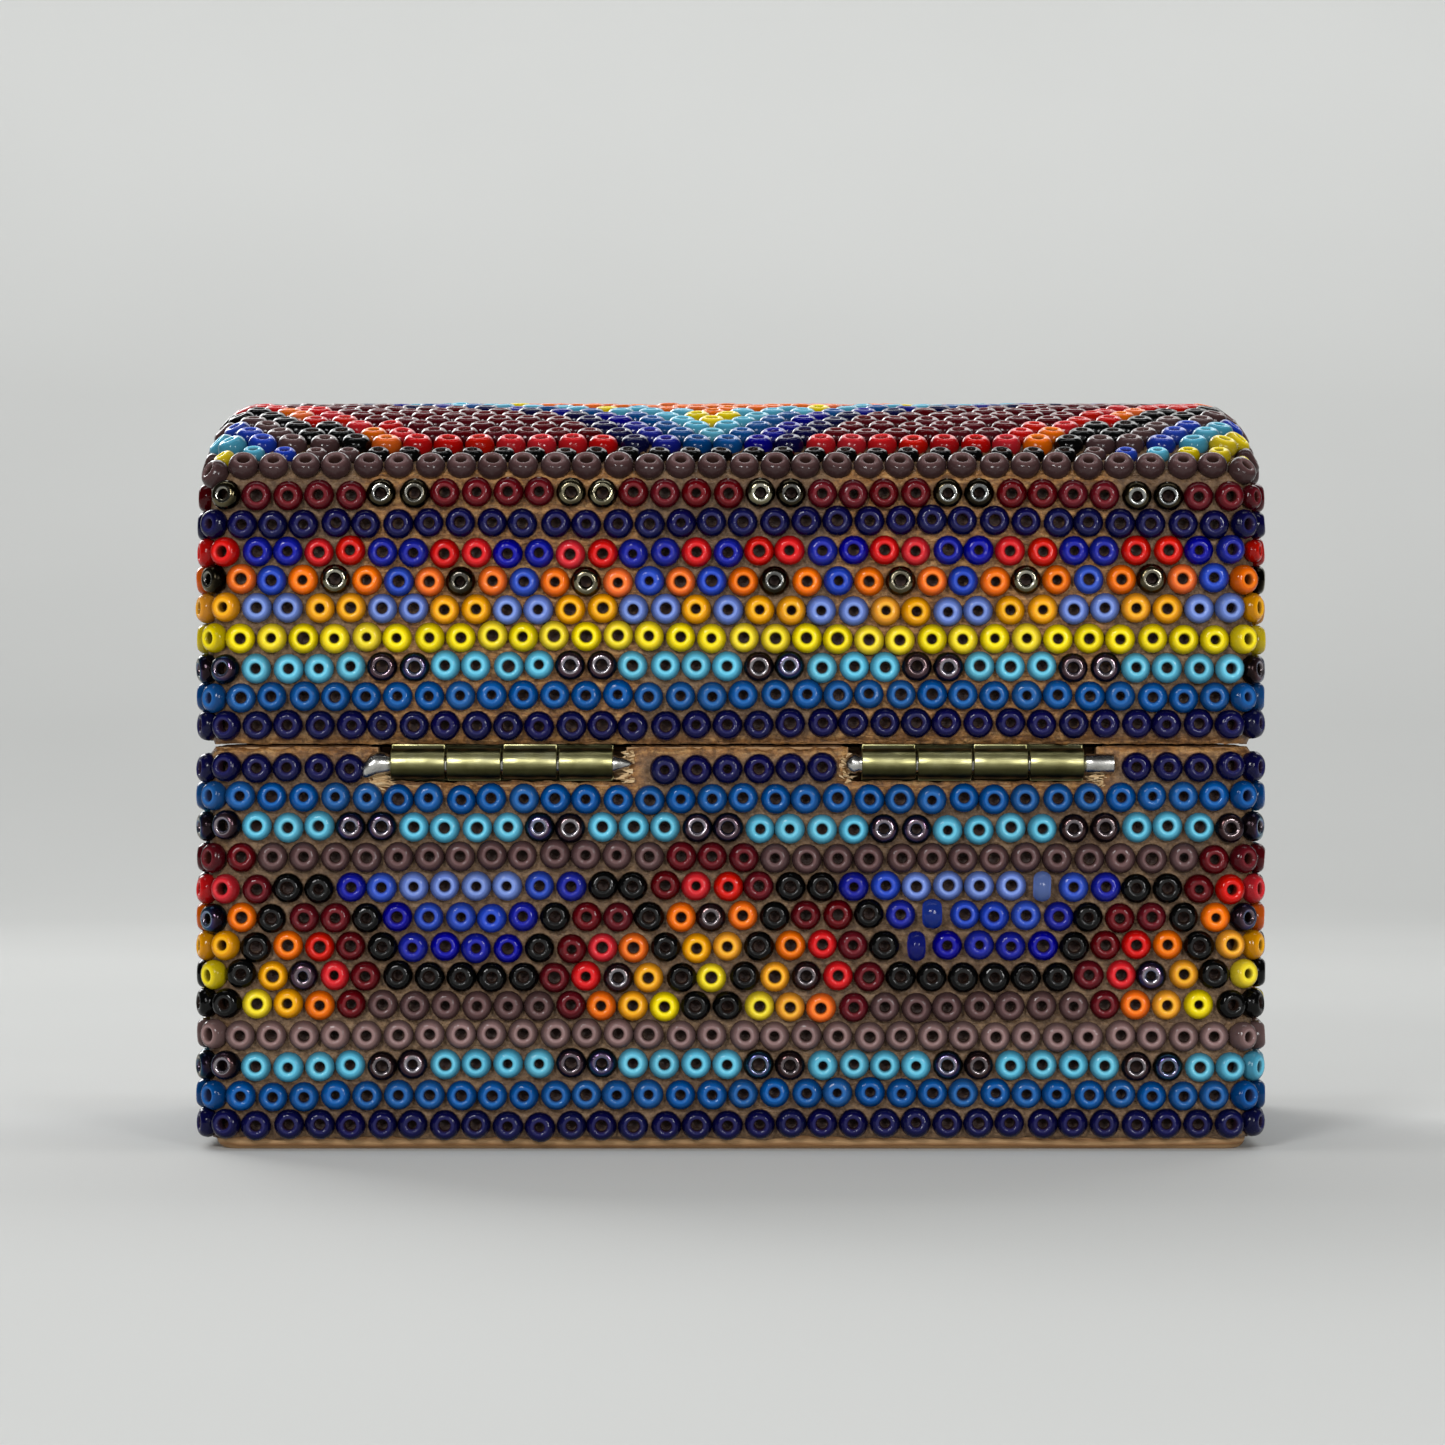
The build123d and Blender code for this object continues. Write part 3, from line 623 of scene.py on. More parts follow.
def steel_paint():
    """Plain steel wire with fine drawing marks."""
    paint = Paint("steel")
    drawn = paint.noise(paint.place((0.2, 1, 1)), 4.0, 5.0, 0.6)
    spots = paint.noise(paint.place(), 1.2, 4.0)
    paint.look(
        Base_Color=paint.ramp(
            spots, (0.3, (0.30, 0.29, 0.27)), (0.6, (0.62, 0.61, 0.58)), (0.85, (0.78, 0.77, 0.74))
        ),
        Metallic=1.0,
        Roughness=paint.span(drawn, 0.16, 0.36),
        Normal=paint.bump(drawn, 0.02),
    )
    return paint.material


def backdrop_paint():
    """Faintly mottled pale grey, with painted light and shade graded with the distance beyond the box."""
    paint = Paint("backdrop")
    mottle = paint.noise(paint.place(), 0.01, 2.0)
    pale = paint.ramp(mottle, (0.3, (0.84, 0.85, 0.835)), (0.7, (0.865, 0.875, 0.86)))
    metres = paint.add("ShaderNodeSeparateXYZ")
    paint.put(metres, "Vector", paint.place((MM, -MM, MM)))
    # Painted light and shade, graded with the distance beyond the box.
    graded = paint.ramp(metres.outputs["Y"], *((back, (tone,) * 3) for back, tone in SWEEP_LIGHT_GRADE))
    paint.look(
        Base_Color=paint.mix(1.0, pale, graded, "MULTIPLY"),
        Roughness=0.95,
        Specular_IOR_Level=0.1,
    )
    return paint.material


WAX_PAINT = wax_paint()
BRASS_PAINT = brass_paint("brass", 1.15, 0.24)
# The leaf plates: the same brass at a much lower tone, as painted shade in the hinge notches.
SHADED_PLATE_PAINT = brass_paint("brass_plate_shaded", 0.15, 0.42)
STEEL_PAINT = steel_paint()
BEAD_PAINTS = {}


# ---------------------------------------------------------------- beads
def loose_parts(count, triangles):
    """For each point, the lowest point number of the solid that it belongs to."""
    label = np.arange(count)
    while True:
        lowest = label[triangles].min(axis=1)
        new = label.copy()
        for corner in range(3):
            np.minimum.at(new, triangles[:, corner], lowest)
        new = new[new]
        if np.array_equal(new, label):
            return label
        label = new


def bead_places(node):
    """Centre, hole direction and size of every bead of a CAD node."""
    points, triangles = node_arrays(node)
    label = loose_parts(len(points), triangles)
    _, bead = np.unique(label, return_inverse=True)
    total = np.bincount(bead).astype(float)
    mean = np.stack([np.bincount(bead, points[:, k]) / total for k in range(3)], axis=1)
    offset = points - mean[bead]
    far = np.linalg.norm(offset, axis=1)
    nearest = np.full(len(total), np.inf)
    np.minimum.at(nearest, bead, far)
    rim = far < nearest[bead] * HOLE_RIM
    spread = np.zeros((len(total), 3, 3))
    np.add.at(spread, bead[rim], offset[rim][:, :, None] * offset[rim][:, None, :])
    _, directions = np.linalg.eigh(spread)
    inside = np.einsum("nk,nkj->nj", offset, directions[bead])
    low, high = np.full((len(total), 3), np.inf), np.full((len(total), 3), -np.inf)
    np.minimum.at(low, bead, inside)
    np.maximum.at(high, bead, inside)
    centre = mean + np.einsum("nj,nkj->nk", (low + high) / 2, directions)
    return centre, directions[:, :, 2], (high - low)[:, 2] / (2 * BEAD_HALF_HEIGHT * MM)


def bead_frames(axis):
    """Two directions square to each axis, turned at random about it."""
    helper = np.where(np.abs(axis[:, 2:3]) < 0.8, [[0.0, 0.0, 1.0]], [[1.0, 0.0, 0.0]])
    first = np.cross(helper, axis)
    first /= np.linalg.norm(first, axis=1, keepdims=True)
    second = np.cross(axis, first)
    turn = RNG.uniform(0, 2 * math.pi, (len(axis), 1))
    return (
        first * np.cos(turn) + second * np.sin(turn),
        second * np.cos(turn) - first * np.sin(turn),
    )


def differ(middle, deviation, lowest, highest, shape):
    """Random values round a middle, kept between the lowest and the highest."""
    return RNG.normal(middle, deviation, shape).clip(lowest, highest)


def strayed(centre, axis):
    """Beads a little out of place and leaning; also two directions square to each new axis."""
    first, second = bead_frames(axis)
    stray = differ(*BEAD_STRAY, (len(centre), 2))
    centre = centre + (first * stray[:, :1] + second * stray[:, 1:]) * MM
    lean = differ(*BEAD_LEAN, (len(centre), 2))
    axis = axis + first * lean[:, :1] + second * lean[:, 1:]
    axis /= np.linalg.norm(axis, axis=1, keepdims=True)
    first = np.cross(second, axis)
    first /= np.linalg.norm(first, axis=1, keepdims=True)
    return centre, axis, first, np.cross(axis, first)


def near_hole(start, width):
    """For each point of the bead's section, 0 beyond start, rising to 1 a width nearer the hole."""
    return np.clip((start - BEAD_PROFILE[:, 0]) / width, 0, 1)


def bead_rings(size):
    """Points of each bead's rings across, along and up its own directions, in millimetres."""
    count = len(size)
    wide = size * differ(*BEAD_WIDTH, count)
    oval = RNG.normal(0, BEAD_OVAL, count)
    tall = size * differ(*BEAD_LENGTH, count)
    bore = differ(*BEAD_BORE, count)
    inner = near_hole(0.78, 0.40)
    radius = BEAD_PROFILE[None, :, 0] * (wide[:, None] * (1 + inner[None] * (bore[:, None] - 1)))
    height = BEAD_PROFILE[None, :, 1] * tall[:, None]
    ring = np.arange(BEAD_SEGMENTS) * 2 * math.pi / BEAD_SEGMENTS
    across = radius[:, :, None] * np.cos(ring)[None, None] * (1 + oval)[:, None, None]
    along = radius[:, :, None] * np.sin(ring)[None, None] * (1 - oval)[:, None, None]
    return across, along, height


def string_of_beads(name, places, body, colour):
    """Beads of one colour as one piece of finely shaped rings; returns it and the beads' places."""
    centre, axis, first, second = strayed(*places[:2])
    across, along, height = bead_rings(places[2])
    points = (
        centre[:, None, None, :]
        + across[..., None] * MM * first[:, None, None, :]
        + along[..., None] * MM * second[:, None, None, :]
        + height[:, :, None, None] * MM * axis[:, None, None, :]
    )
    count, section = len(centre), len(BEAD_PROFILE)
    rows, turns = np.meshgrid(np.arange(section), np.arange(BEAD_SEGMENTS), indexing="ij")
    next_row, next_turn = (rows + 1) % section, (turns + 1) % BEAD_SEGMENTS
    quad = np.stack(
        [
            rows * BEAD_SEGMENTS + turns,
            next_row * BEAD_SEGMENTS + turns,
            next_row * BEAD_SEGMENTS + next_turn,
            rows * BEAD_SEGMENTS + next_turn,
        ],
        axis=-1,
    ).reshape(-1, 4)
    per_bead = section * BEAD_SEGMENTS
    faces = (quad[None] + (np.arange(count) * per_bead)[:, None, None]).reshape(-1, 4)
    piece = mesh_object(name, points.reshape(-1, 3), faces)
    store_bead_colours(piece.data, count)
    store_bead_uv(piece.data, count, rows.ravel(), turns.ravel())
    if colour not in BEAD_PAINTS:
        BEAD_PAINTS[colour] = bead_paint(colour)
    piece.data.materials.append(BEAD_PAINTS[colour])
    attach(piece, body)
    return piece, centre, axis


def store_bead_colours(mesh, count):
    """Per-bead tint, how far down the hole a point is, and how far onto the flat ring round it."""
    tint = mesh.attributes.new("bead_tint", "FLOAT_COLOR", "POINT")
    values = np.ones((count, 4), np.float32)
    values[:, :3] = RNG.uniform(0, 1, (count, 3))
    per_bead = len(BEAD_PROFILE) * BEAD_SEGMENTS
    tint.data.foreach_set("color", np.repeat(values, per_bead, axis=0).ravel())
    for key, share in (("bead_hole", near_hole(0.43, 0.07)), ("bead_face", near_hole(0.92, 0.30))):
        store(mesh, key, np.tile(np.repeat(share, BEAD_SEGMENTS), count))


def store_bead_uv(mesh, count, rows, turns):
    """One small cell of the map for each bead, unrolled round its hole."""
    side = math.ceil(math.sqrt(count))
    corner_rows = np.stack([rows, rows + 1, rows + 1, rows], axis=1) / len(BEAD_PROFILE)
    corner_turns = np.stack([turns, turns, turns + 1, turns + 1], axis=1) / BEAD_SEGMENTS
    cell = np.stack([corner_turns, corner_rows], axis=-1) * (1 - 2 * UV_MARGIN) + UV_MARGIN
    number = np.arange(count)
    shift = np.stack([number % side, number // side], axis=1)
    uv = (cell[None] + shift[:, None, None, :]) / side
    layer = mesh.uv_layers.new(name="OFBake")
    layer.data.foreach_set("uv", uv.astype(np.float32).ravel())


def all_beads():
    """Every bead node of the frame, dressed; returns bead centres and hole directions by body."""
    places = {"base": [], "lid": []}
    for node in sorted(BODY_OF):
        if "_beads_" not in node:
            continue
        body, colour = node.split("_beads_")
        name = f"{body}_glass_{colour}"
        piece, centre, axis = string_of_beads(name, bead_places(node), body, colour)
        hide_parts(node)
        places[body].append((centre, axis))
    return {
        body: tuple(np.concatenate(part) for part in zip(*strings)) for body, strings in places.items()
    }


def squeezed_beads(columns, normals, centres, axes):
    """Smaller beads pushed into the gaps at the ends of the lid's upper rows; returns all lid beads."""
    points, ways = columns.reshape(-1, 3), normals.reshape(-1, 3)
    at_end = np.abs(points[:, 0]) > HALF_LENGTH - CORNER - SQUEEZED_INSET
    chosen = at_end & (points[:, 2] > SQUEEZED_ABOVE)
    points, ways = points[chosen], ways[chosen]
    seats = points + ways * (BEAD_SEAT + BEAD_HALF_HEIGHT - WAX_CAD)
    tree = point_tree(centres / MM)
    room = np.array([tree.find(seat)[2] for seat in seats])
    found = []
    while room.max() > SQUEEZED_ROOM:
        best = room.argmax()
        size = min(1.0, (room[best] - BEAD_REACH) / BEAD_REACH)
        found.append((seats[best], ways[best], size))
        taken = np.linalg.norm(seats - seats[best], axis=1) + BEAD_REACH * (1 - size)
        room = np.minimum(room, taken)
    lower = 0.0
    for colour, upper in SQUEEZED_COLOURS:
        chosen = [place for place in found if lower <= place[0][2] < upper]
        lower = upper
        if not chosen:
            continue
        seat, way, size = (np.array(part) for part in zip(*chosen))
        name = f"lid_squeezed_{colour}"
        _, centre, axis = string_of_beads(name, (seat * MM, way, size), "lid", colour)
        centres, axes = np.concatenate([centres, centre]), np.concatenate([axes, axis])
    return centres, axes


# ---------------------------------------------------------------- wax coats
def outline(step):
    """Points and outward directions round the box in plan, in millimetres, at even steps."""
    flat_x, flat_y, arc = HALF_LENGTH - CORNER, HALF_DEPTH - CORNER, CORNER * math.pi / 2
    total = 4 * (flat_x + flat_y + arc)
    count = round(total / step / 4) * 4
    points, outward = [], []
    sides = ((0, 1, flat_x), (1, 0, flat_y), (0, -1, flat_x), (-1, 0, flat_y))
    for number in range(count):
        left = number * total / count
        for across, up, flat in sides:
            middle = Vector((across * HALF_LENGTH, up * HALF_DEPTH))
            run = Vector((up, -across))
            if left <= 2 * flat:
                points.append(middle + run * (left - flat))
                outward.append(Vector((across, up)))
                break
            left -= 2 * flat
            if left <= arc:
                turn = left / CORNER
                way = Vector((across, up)) * math.cos(turn) + run * math.sin(turn)
                inset = middle - Vector((across, up)) * CORNER + run * flat
                points.append(inset + way * CORNER)
                outward.append(way)
                break
            left -= arc
    return np.array(points), np.array(outward)


def sheet_faces(chosen, count, rows):
    """Quads between each chosen column of points and the next one, in a ring of count columns."""
    column, row = np.meshgrid(chosen, np.arange(rows - 1), indexing="ij")
    here, after = column * rows + row, (column + 1) % count * rows + row
    return np.stack([here, here + 1, after + 1, after], axis=-1).reshape(-1, 4)


def wax_thickness(points, centres, axes):
    """Wax thickness in millimetres, with a lip round every bead, and a mask for painted shade where the
    bead holes are.
    """
    tree = point_tree(centres)
    nearest = np.array([tree.find(point)[1] for point in points * MM])
    offset = points - centres[nearest] / MM
    axis = axes[nearest]
    out = np.sum(offset * axis, axis=1)
    across = np.linalg.norm(offset - out[:, None] * axis, axis=1)
    under_bead = np.abs(out) < BEAD_ZONE
    lip = LIP_RISE * np.exp(-(((across - LIP_RADIUS) / LIP_WIDTH) ** 2)) * under_bead
    broad = noise_at(points, 0.35)
    fine = noise_at(points, 1.9, (9, 4, 2))
    hollow = np.clip((HOLLOW_RADIUS - across) / HOLLOW_EDGE, 0, 1) * under_bead
    at_seam = np.exp(-(((points[:, 2] - BASE_TOP) / SEAM_SPREAD) ** 2))
    lumps = WAX_LUMPS * (0.5 * broad + fine) + SEAM_LUMPS * at_seam * (fine + broad)
    return WAX_BODY + lip * (1 + 0.35 * broad) + lumps, hollow


def sheet(name, columns, hollow, body):
    """A wax sheet from columns of points running up the outside of the box."""
    count, rows = columns.shape[:2]
    faces = sheet_faces(np.arange(count), count, rows)
    points = columns.reshape(-1, 3)
    if body == "base":
        faces = faces[notch_depth(points[faces].mean(axis=1)) <= WAX_STEP]
    piece = mesh_object(name, points * MM, faces)
    seam = np.clip(1.5 - np.abs(points[:, 2] - SEAM_MIDDLE) / 0.8, 0, 1)
    by_notch = np.clip(1.3 + notch_depth(points), 0, 1)
    store(piece.data, "wax_painted_shade", hollow.ravel())
    store(piece.data, "wax_seam", np.maximum(seam, by_notch))
    piece.data.materials.append(WAX_PAINT)
    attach(piece, body)
    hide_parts(f"{body}_wax_coat")


def notch_depth(points):
    """How far inside a hinge notch a point of the base's back face is, in millimetres."""
    deep = np.full(len(points), NOT_NEAR_NOTCH)
    for centre in HINGE_CENTRES.values():
        side = NOTCH_HALF + NOTCH_SIDE_GAP - np.abs(points[:, 0] - centre)
        up = points[:, 2] - NOTCH_FLOOR + NOTCH_FLOOR_GAP
        deep = np.maximum(deep, np.minimum(side, up))
    return np.where(points[:, 1] > HALF_DEPTH - 1, deep, NOT_NEAR_NOTCH)


def base_wax(centres, axes):
    """The coat of the base, with ragged edges at the seam, the foot and the hinge notches."""
    plan, outward = outline(WAX_STEP)
    count = len(plan)
    rows = round((BASE_TOP - WAX_FOOT) / WAX_STEP)
    share = np.linspace(0, 1, rows + 1)
    ragged = waver(plan, 3.0, 0.5)
    jagged = waver(plan, 8.0, 2.2)
    low = WAX_FOOT + 0.05 + 0.22 * ragged + 0.08 * jagged
    high = BASE_TOP + 0.08 - SEAM_WAVER * np.abs(ragged + 0.6 * jagged)
    columns = np.zeros((count, rows + 3, 3))
    columns[:, 1:-1, :2] = plan[:, None, :]
    columns[:, 1:-1, 2] = low[:, None] + (high - low)[:, None] * share[None]
    columns[:, 0], columns[:, -1] = columns[:, 1], columns[:, -2]
    points = columns[:, 1:-1].reshape(-1, 3)
    # dark is the painted shade where the wax shows through a bead hole.
    thick, dark = wax_thickness(points, centres, axes)
    hollow = np.zeros((count, rows + 3))
    hollow[:, 1:-1] = dark.reshape(count, -1)
    deep = notch_depth(points) + 0.25 * noise_at(points, 1.7)
    thick = np.where(deep > 0, WAX_ROOT, thick).reshape(count, -1)
    thick[:, 0] *= 0.6
    thick[:, -1] *= 0.6
    shift = np.full((count, rows + 3), WAX_ROOT)
    shift[:, 1:-1] = thick
    columns[:, :, :2] += shift[..., None] * outward[:, None, :]
    sheet("base_wax", columns, hollow, "base")


def lid_surface():
    """Points in columns up the CAD coat's sides and over the crown to its ridge, and their normals."""
    points, triangles = node_arrays("lid_wax_coat")
    cad = BVHTree.FromPolygons([Vector(point) for point in points], triangles.tolist())
    plan, _ = outline(LID_WAX_STEP)
    ridge_half = HALF_LENGTH - HALF_DEPTH
    columns, normals = [], []
    for x, y in plan:
        root = Vector((max(-ridge_half, min(ridge_half, x)), 0.0, LID_RAY_FOOT)) * MM
        run = Vector((x * MM, y * MM, LID_RAY_FOOT * MM)) - root
        run.normalize()
        hits, turned = [], []
        for angle in np.linspace(0, math.pi / 2, LID_RAYS):
            way = run * math.cos(angle) + Vector((0, 0, 1)) * math.sin(angle)
            hit, normal, _, _ = cad.ray_cast(root + way * LID_RAY_LENGTH * MM, -way)
            hits.append(hit if hit is not None else hits[-1])
            turned.append(normal if normal is not None else turned[-1])
        hits, turned = np.array(hits) / MM, np.array(turned)
        gone = np.concatenate([[0], np.cumsum(np.linalg.norm(np.diff(hits, axis=0), axis=1))])
        even = np.linspace(0, gone[-1], LID_WAX_ROWS)
        columns.append(np.stack([np.interp(even, gone, hits[:, k]) for k in range(3)], axis=1))
        normals.append(np.stack([np.interp(even, gone, turned[:, k]) for k in range(3)], axis=1))
    columns, normals = np.array(columns), np.array(normals)
    normals /= np.linalg.norm(normals, axis=2, keepdims=True)
    return plan, columns, normals


def lid_wax(plan, columns, normals, centres, axes):
    """The coat of the lid, with a ragged edge at the seam."""
    count = len(plan)
    ragged = waver(plan, 5.0, 0.6)
    jagged = waver(plan, 9.0, 2.0)
    columns[:, 0, 2] = LID_BOTTOM - 0.06 + SEAM_WAVER * np.abs(ragged + 0.6 * jagged)
    # dark is the painted shade where the wax shows through a bead hole.
    thick, dark = wax_thickness(columns.reshape(-1, 3), centres, axes)
    hollow = np.zeros((count, LID_WAX_ROWS + 1))
    hollow[:, 1:] = dark.reshape(count, -1)
    thick = thick.reshape(count, -1) - WAX_CAD
    thick[:, 0] = WAX_ROOT + 0.2 - WAX_CAD
    columns = columns + thick[..., None] * normals
    foot = columns[:, :1].copy()
    foot[:, 0] -= normals[:, 0] * (WAX_BODY + 0.1)
    sheet("lid_wax", np.concatenate([foot, columns], axis=1), hollow, "lid")


def rim_wax():
    """A thin uneven line of wax squeezed out on the base's rim, just inside the outer edge."""
    plan, outward = outline(RIM_STEP)
    count, rows = len(plan), len(RIM_SECTION)
    rough = waver(plan, 2.0, 0.7)
    fine = waver(plan, 6.0, 2.5)
    columns = np.zeros((count, rows, 3))
    for number, (inset, lift) in enumerate(RIM_SECTION):
        on_top = number in (2, 3)
        shift = inset + (0 if on_top else 0.12) * rough
        columns[:, number, :2] = plan - outward * shift[:, None]
        columns[:, number, 2] = BASE_TOP + lift + (0.035 if lift > 0 else 0) * fine
    x, y = columns[:, 0, 0], columns[:, 0, 1]
    by_hinge = np.any([np.abs(x - centre) < NOTCH_HALF + 0.3 for centre in HINGE_CENTRES.values()], axis=0)
    in_the_way = by_hinge & (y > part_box("base_back_wall")[0].y / MM)
    clear = np.nonzero(~in_the_way & ~np.roll(in_the_way, -1))[0]
    piece = mesh_object("rim_wax", columns.reshape(-1, 3) * MM, sheet_faces(clear, count, rows))
    store(piece.data, "wax_seam", np.full(count * rows, 0.6))
    # Painted shade over the whole line, as it lies in the seam under the lid.
    store(piece.data, "wax_painted_shade", np.full(count * rows, 0.55))
    piece.data.materials.append(WAX_PAINT)
    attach(piece, "base")


# ---------------------------------------------------------------- bare wood
def bare_wood():
    """Grain on the boards, with a small rounding along their edges."""
    paints = {along: wood_paint(along) for along in "xy"}
    for node in sorted(BODY_OF):
        if not node.endswith(("_wall", "_rail", "_panel")):
            continue
        board = frame["nodes"][node]
        along = "y" if "_left_" in node or "_right_" in node else "x"
        board.data.materials.clear()
        board.data.materials.append(paints[along])
        weld = board.modifiers.new("weld", "WELD")
        weld.merge_threshold = 0.01 * MM
        bevel = board.modifiers.new("worn_edge", "BEVEL")
        bevel.width = WORN_EDGE * MM
        bevel.segments = 2
        bevel.limit_method = "ANGLE"
        bevel.angle_limit = math.radians(40)


def fibre(shape, start, way, wide, turn, bend):
    """One tapering four-sided fibre from start, as long as way."""
    across = Vector((0.1, math.cos(turn), math.sin(turn))) * wide
    lift = way.cross(across).normalized() * wide * 0.5
    rings = []
    for share, swell in FIBRE_TAPER:
        middle = start + way * share + bend * share**2
        corners = (across + lift, lift - across, -across - lift, across - lift)
        rings.append([shape.verts.new((middle + corner * swell) * MM) for corner in corners])
    for one, other in zip(rings, rings[1:]):
        for k in range(4):
            shape.faces.new((one[k], one[(k + 1) % 4], other[(k + 1) % 4], other[k]))
    shape.faces.new(rings[0][::-1])
    shape.faces.new(rings[-1])


def splinters():
    """Torn pale fibres where the wood broke at the ends of the hinge notches, longest at the bottom."""
    shape = bmesh.new()
    for side, end, low, high, amount, longest in TORN_ENDS:
        edge = HINGE_CENTRES[side] + end * (NOTCH_HALF + TORN_OUTSIDE)
        for _ in range(amount):
            share_up = RNG.uniform(0, 1)
            start = Vector((
                edge + end * (TORN_INSET - TORN_BAND * RNG.uniform(0, 1)),
                HALF_DEPTH + RNG.uniform(-0.35, 0.42),
                low + (high - low) * share_up,
            ))
            way = Vector((-end, RNG.uniform(-0.1, 0.22), RNG.uniform(-0.55, 0.35)))
            long = RNG.uniform(0.35, 1.0) * longest * (1.25 - 0.7 * share_up)
            wide = RNG.uniform(*FIBRE_WIDTHS)
            turn = RNG.uniform(0, math.pi)
            bend = Vector((0, RNG.uniform(-0.05, 0.2), RNG.uniform(-0.15, 0.15)))
            fibre(shape, start, way * long, wide, turn, bend)
    bmesh.ops.recalc_face_normals(shape, faces=shape.faces)
    piece = bmesh_object("torn_wood", shape, smooth=False)
    piece.data.materials.append(torn_paint())
    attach(piece, "base")


# ---------------------------------------------------------------- hinges
def lathe(shape, stations, centre_line, sides, seam=None):
    """Skin of rings of (x, radius) about a line of middles; seam is the direction of a dent along it."""
    rings = []
    for x, radius in stations:
        middle = centre_line(x)
        ring = []
        for k in range(sides):
            turn = 2 * math.pi * k / sides
            reach = radius
            if seam is not None and radius > BORE_RADIUS + 0.1:
                away = abs((turn - seam + math.pi) % (2 * math.pi) - math.pi)
                reach -= ROLL_SEAM_DEPTH * math.exp(-((away / ROLL_SEAM_SPREAD) ** 2))
            point = middle + Vector((0, math.cos(turn), math.sin(turn))) * reach
            ring.append(shape.verts.new(point * MM))
        rings.append(ring)
    back_to_start = [] if stations[0][1] == 0 else [rings[0]]
    for one, other in zip(rings, rings[1:] + back_to_start):
        for k in range(sides):
            shape.faces.new((one[k], one[(k + 1) % sides], other[(k + 1) % sides], other[k]))


def hinge_line(x):
    """A point on the hinge line in millimetres."""
    return Vector((x, HINGE_Y, HINGE_Z))


def slab(shape, low, high):
    """A thin plate with rounded edges, in the brass darkened as painted shade."""
    low, high = Vector(low), Vector(high)
    made = bmesh.ops.create_cube(shape, size=1.0)["verts"]
    for corner in made:
        corner.co = Vector(
            (low[k] + high[k]) / 2 + corner.co[k] * (high[k] - low[k]) for k in range(3)
        ) * MM
    for face in {face for corner in made for face in corner.link_faces}:
        face.material_index = 1
    edges = list({edge for corner in made for edge in corner.link_edges})
    bmesh.ops.bevel(shape, geom=edges, offset=LEAF_EDGE * MM, segments=2, affect="EDGES", profile=0.6)


def knuckle(start):
    """The section of one rolled knuckle: its bore, its rounded ends and a faint swell."""
    stop, lip, part = start + KNUCKLE, KNUCKLE_LIP, 0.3 * KNUCKLE_LIP
    return [
        (start, BORE_RADIUS), (start, BARREL_RADIUS - lip), (start + part, BARREL_RADIUS - part),
        (start + lip, BARREL_RADIUS), (start + 0.4 * KNUCKLE, BARREL_RADIUS + 0.012),
        (start + 0.7 * KNUCKLE, BARREL_RADIUS - 0.008), (stop - lip, BARREL_RADIUS),
        (stop - part, BARREL_RADIUS - part), (stop, BARREL_RADIUS - lip), (stop, BORE_RADIUS),
    ]


def finish_metal(name, form, shape, body, paints):
    """Turn a finished shape into the metal piece that stands for a CAD node."""
    bmesh.ops.recalc_face_normals(shape, faces=shape.faces)
    piece = bmesh_object(f"{name}_{form}", shape)
    edge = piece.modifiers.new("hard_edges", "EDGE_SPLIT")
    edge.split_angle = HARD_EDGE
    for paint in paints:
        piece.data.materials.append(paint)
    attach(piece, body)
    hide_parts(name)


def hinge_leaf(side, body):
    """One leaf: a plate in the notch and two knuckles rolled from its edge."""
    centre = HINGE_CENTRES[side]
    half = (KNUCKLES * KNUCKLE + (KNUCKLES - 1) * KNUCKLE_GAP) / 2
    low, high = LEAF_Z[body], LEAF_Z[body] + LEAF
    front = HINGE_Y - BARREL_RADIUS - LEAF_RELIEF
    shape = bmesh.new()
    slab(shape, (centre - half, LEAF_BACK, low), (centre + half, front, high))
    for k in range(0 if body == "lid" else 1, KNUCKLES, 2):
        start = centre + half - KNUCKLE - k * (KNUCKLE + KNUCKLE_GAP)
        lathe(shape, knuckle(start), hinge_line, 44, ROLL_SEAM[body])
        slab(shape, (start + 0.03, front - 0.2, low), (start + KNUCKLE - 0.03, HINGE_Y - 0.25, high))
    paints = (BRASS_PAINT, SHADED_PLATE_PAINT)
    finish_metal(f"{side}_hinge_{body}_leaf", "rolled", shape, body, paints)


def hinge_pin(side):
    """The steel pin: hooked and pointed on one hinge, bevelled and cut square on the other."""
    centre = HINGE_CENTRES[side]

    def line(x):
        """The pin's centre line, bent past the last knuckle of the hooked hinge."""
        past = max(0.0, x - centre - HOOK_START) if side == "right" else 0.0
        return hinge_line(x) + Vector((0, 0.05 * past, 0.18 * past - 0.30 * past**2))

    shape = bmesh.new()
    lathe(shape, [(centre + x, radius) for x, radius in PIN_OUTLINES[side]], line, 32)
    bmesh.ops.remove_doubles(shape, verts=shape.verts, dist=1e-7)
    name = f"{side}_hinge_pin"
    finish_metal(name, "wire", shape, BODY_OF[name], (STEEL_PAINT,))


def nails():
    """The nails keep their form and take the metal of the leaves."""
    for body in BODIES:
        node = frame["nodes"][f"{body}_hinge_nails"]
        node.data.materials.clear()
        node.data.materials.append(BRASS_PAINT)


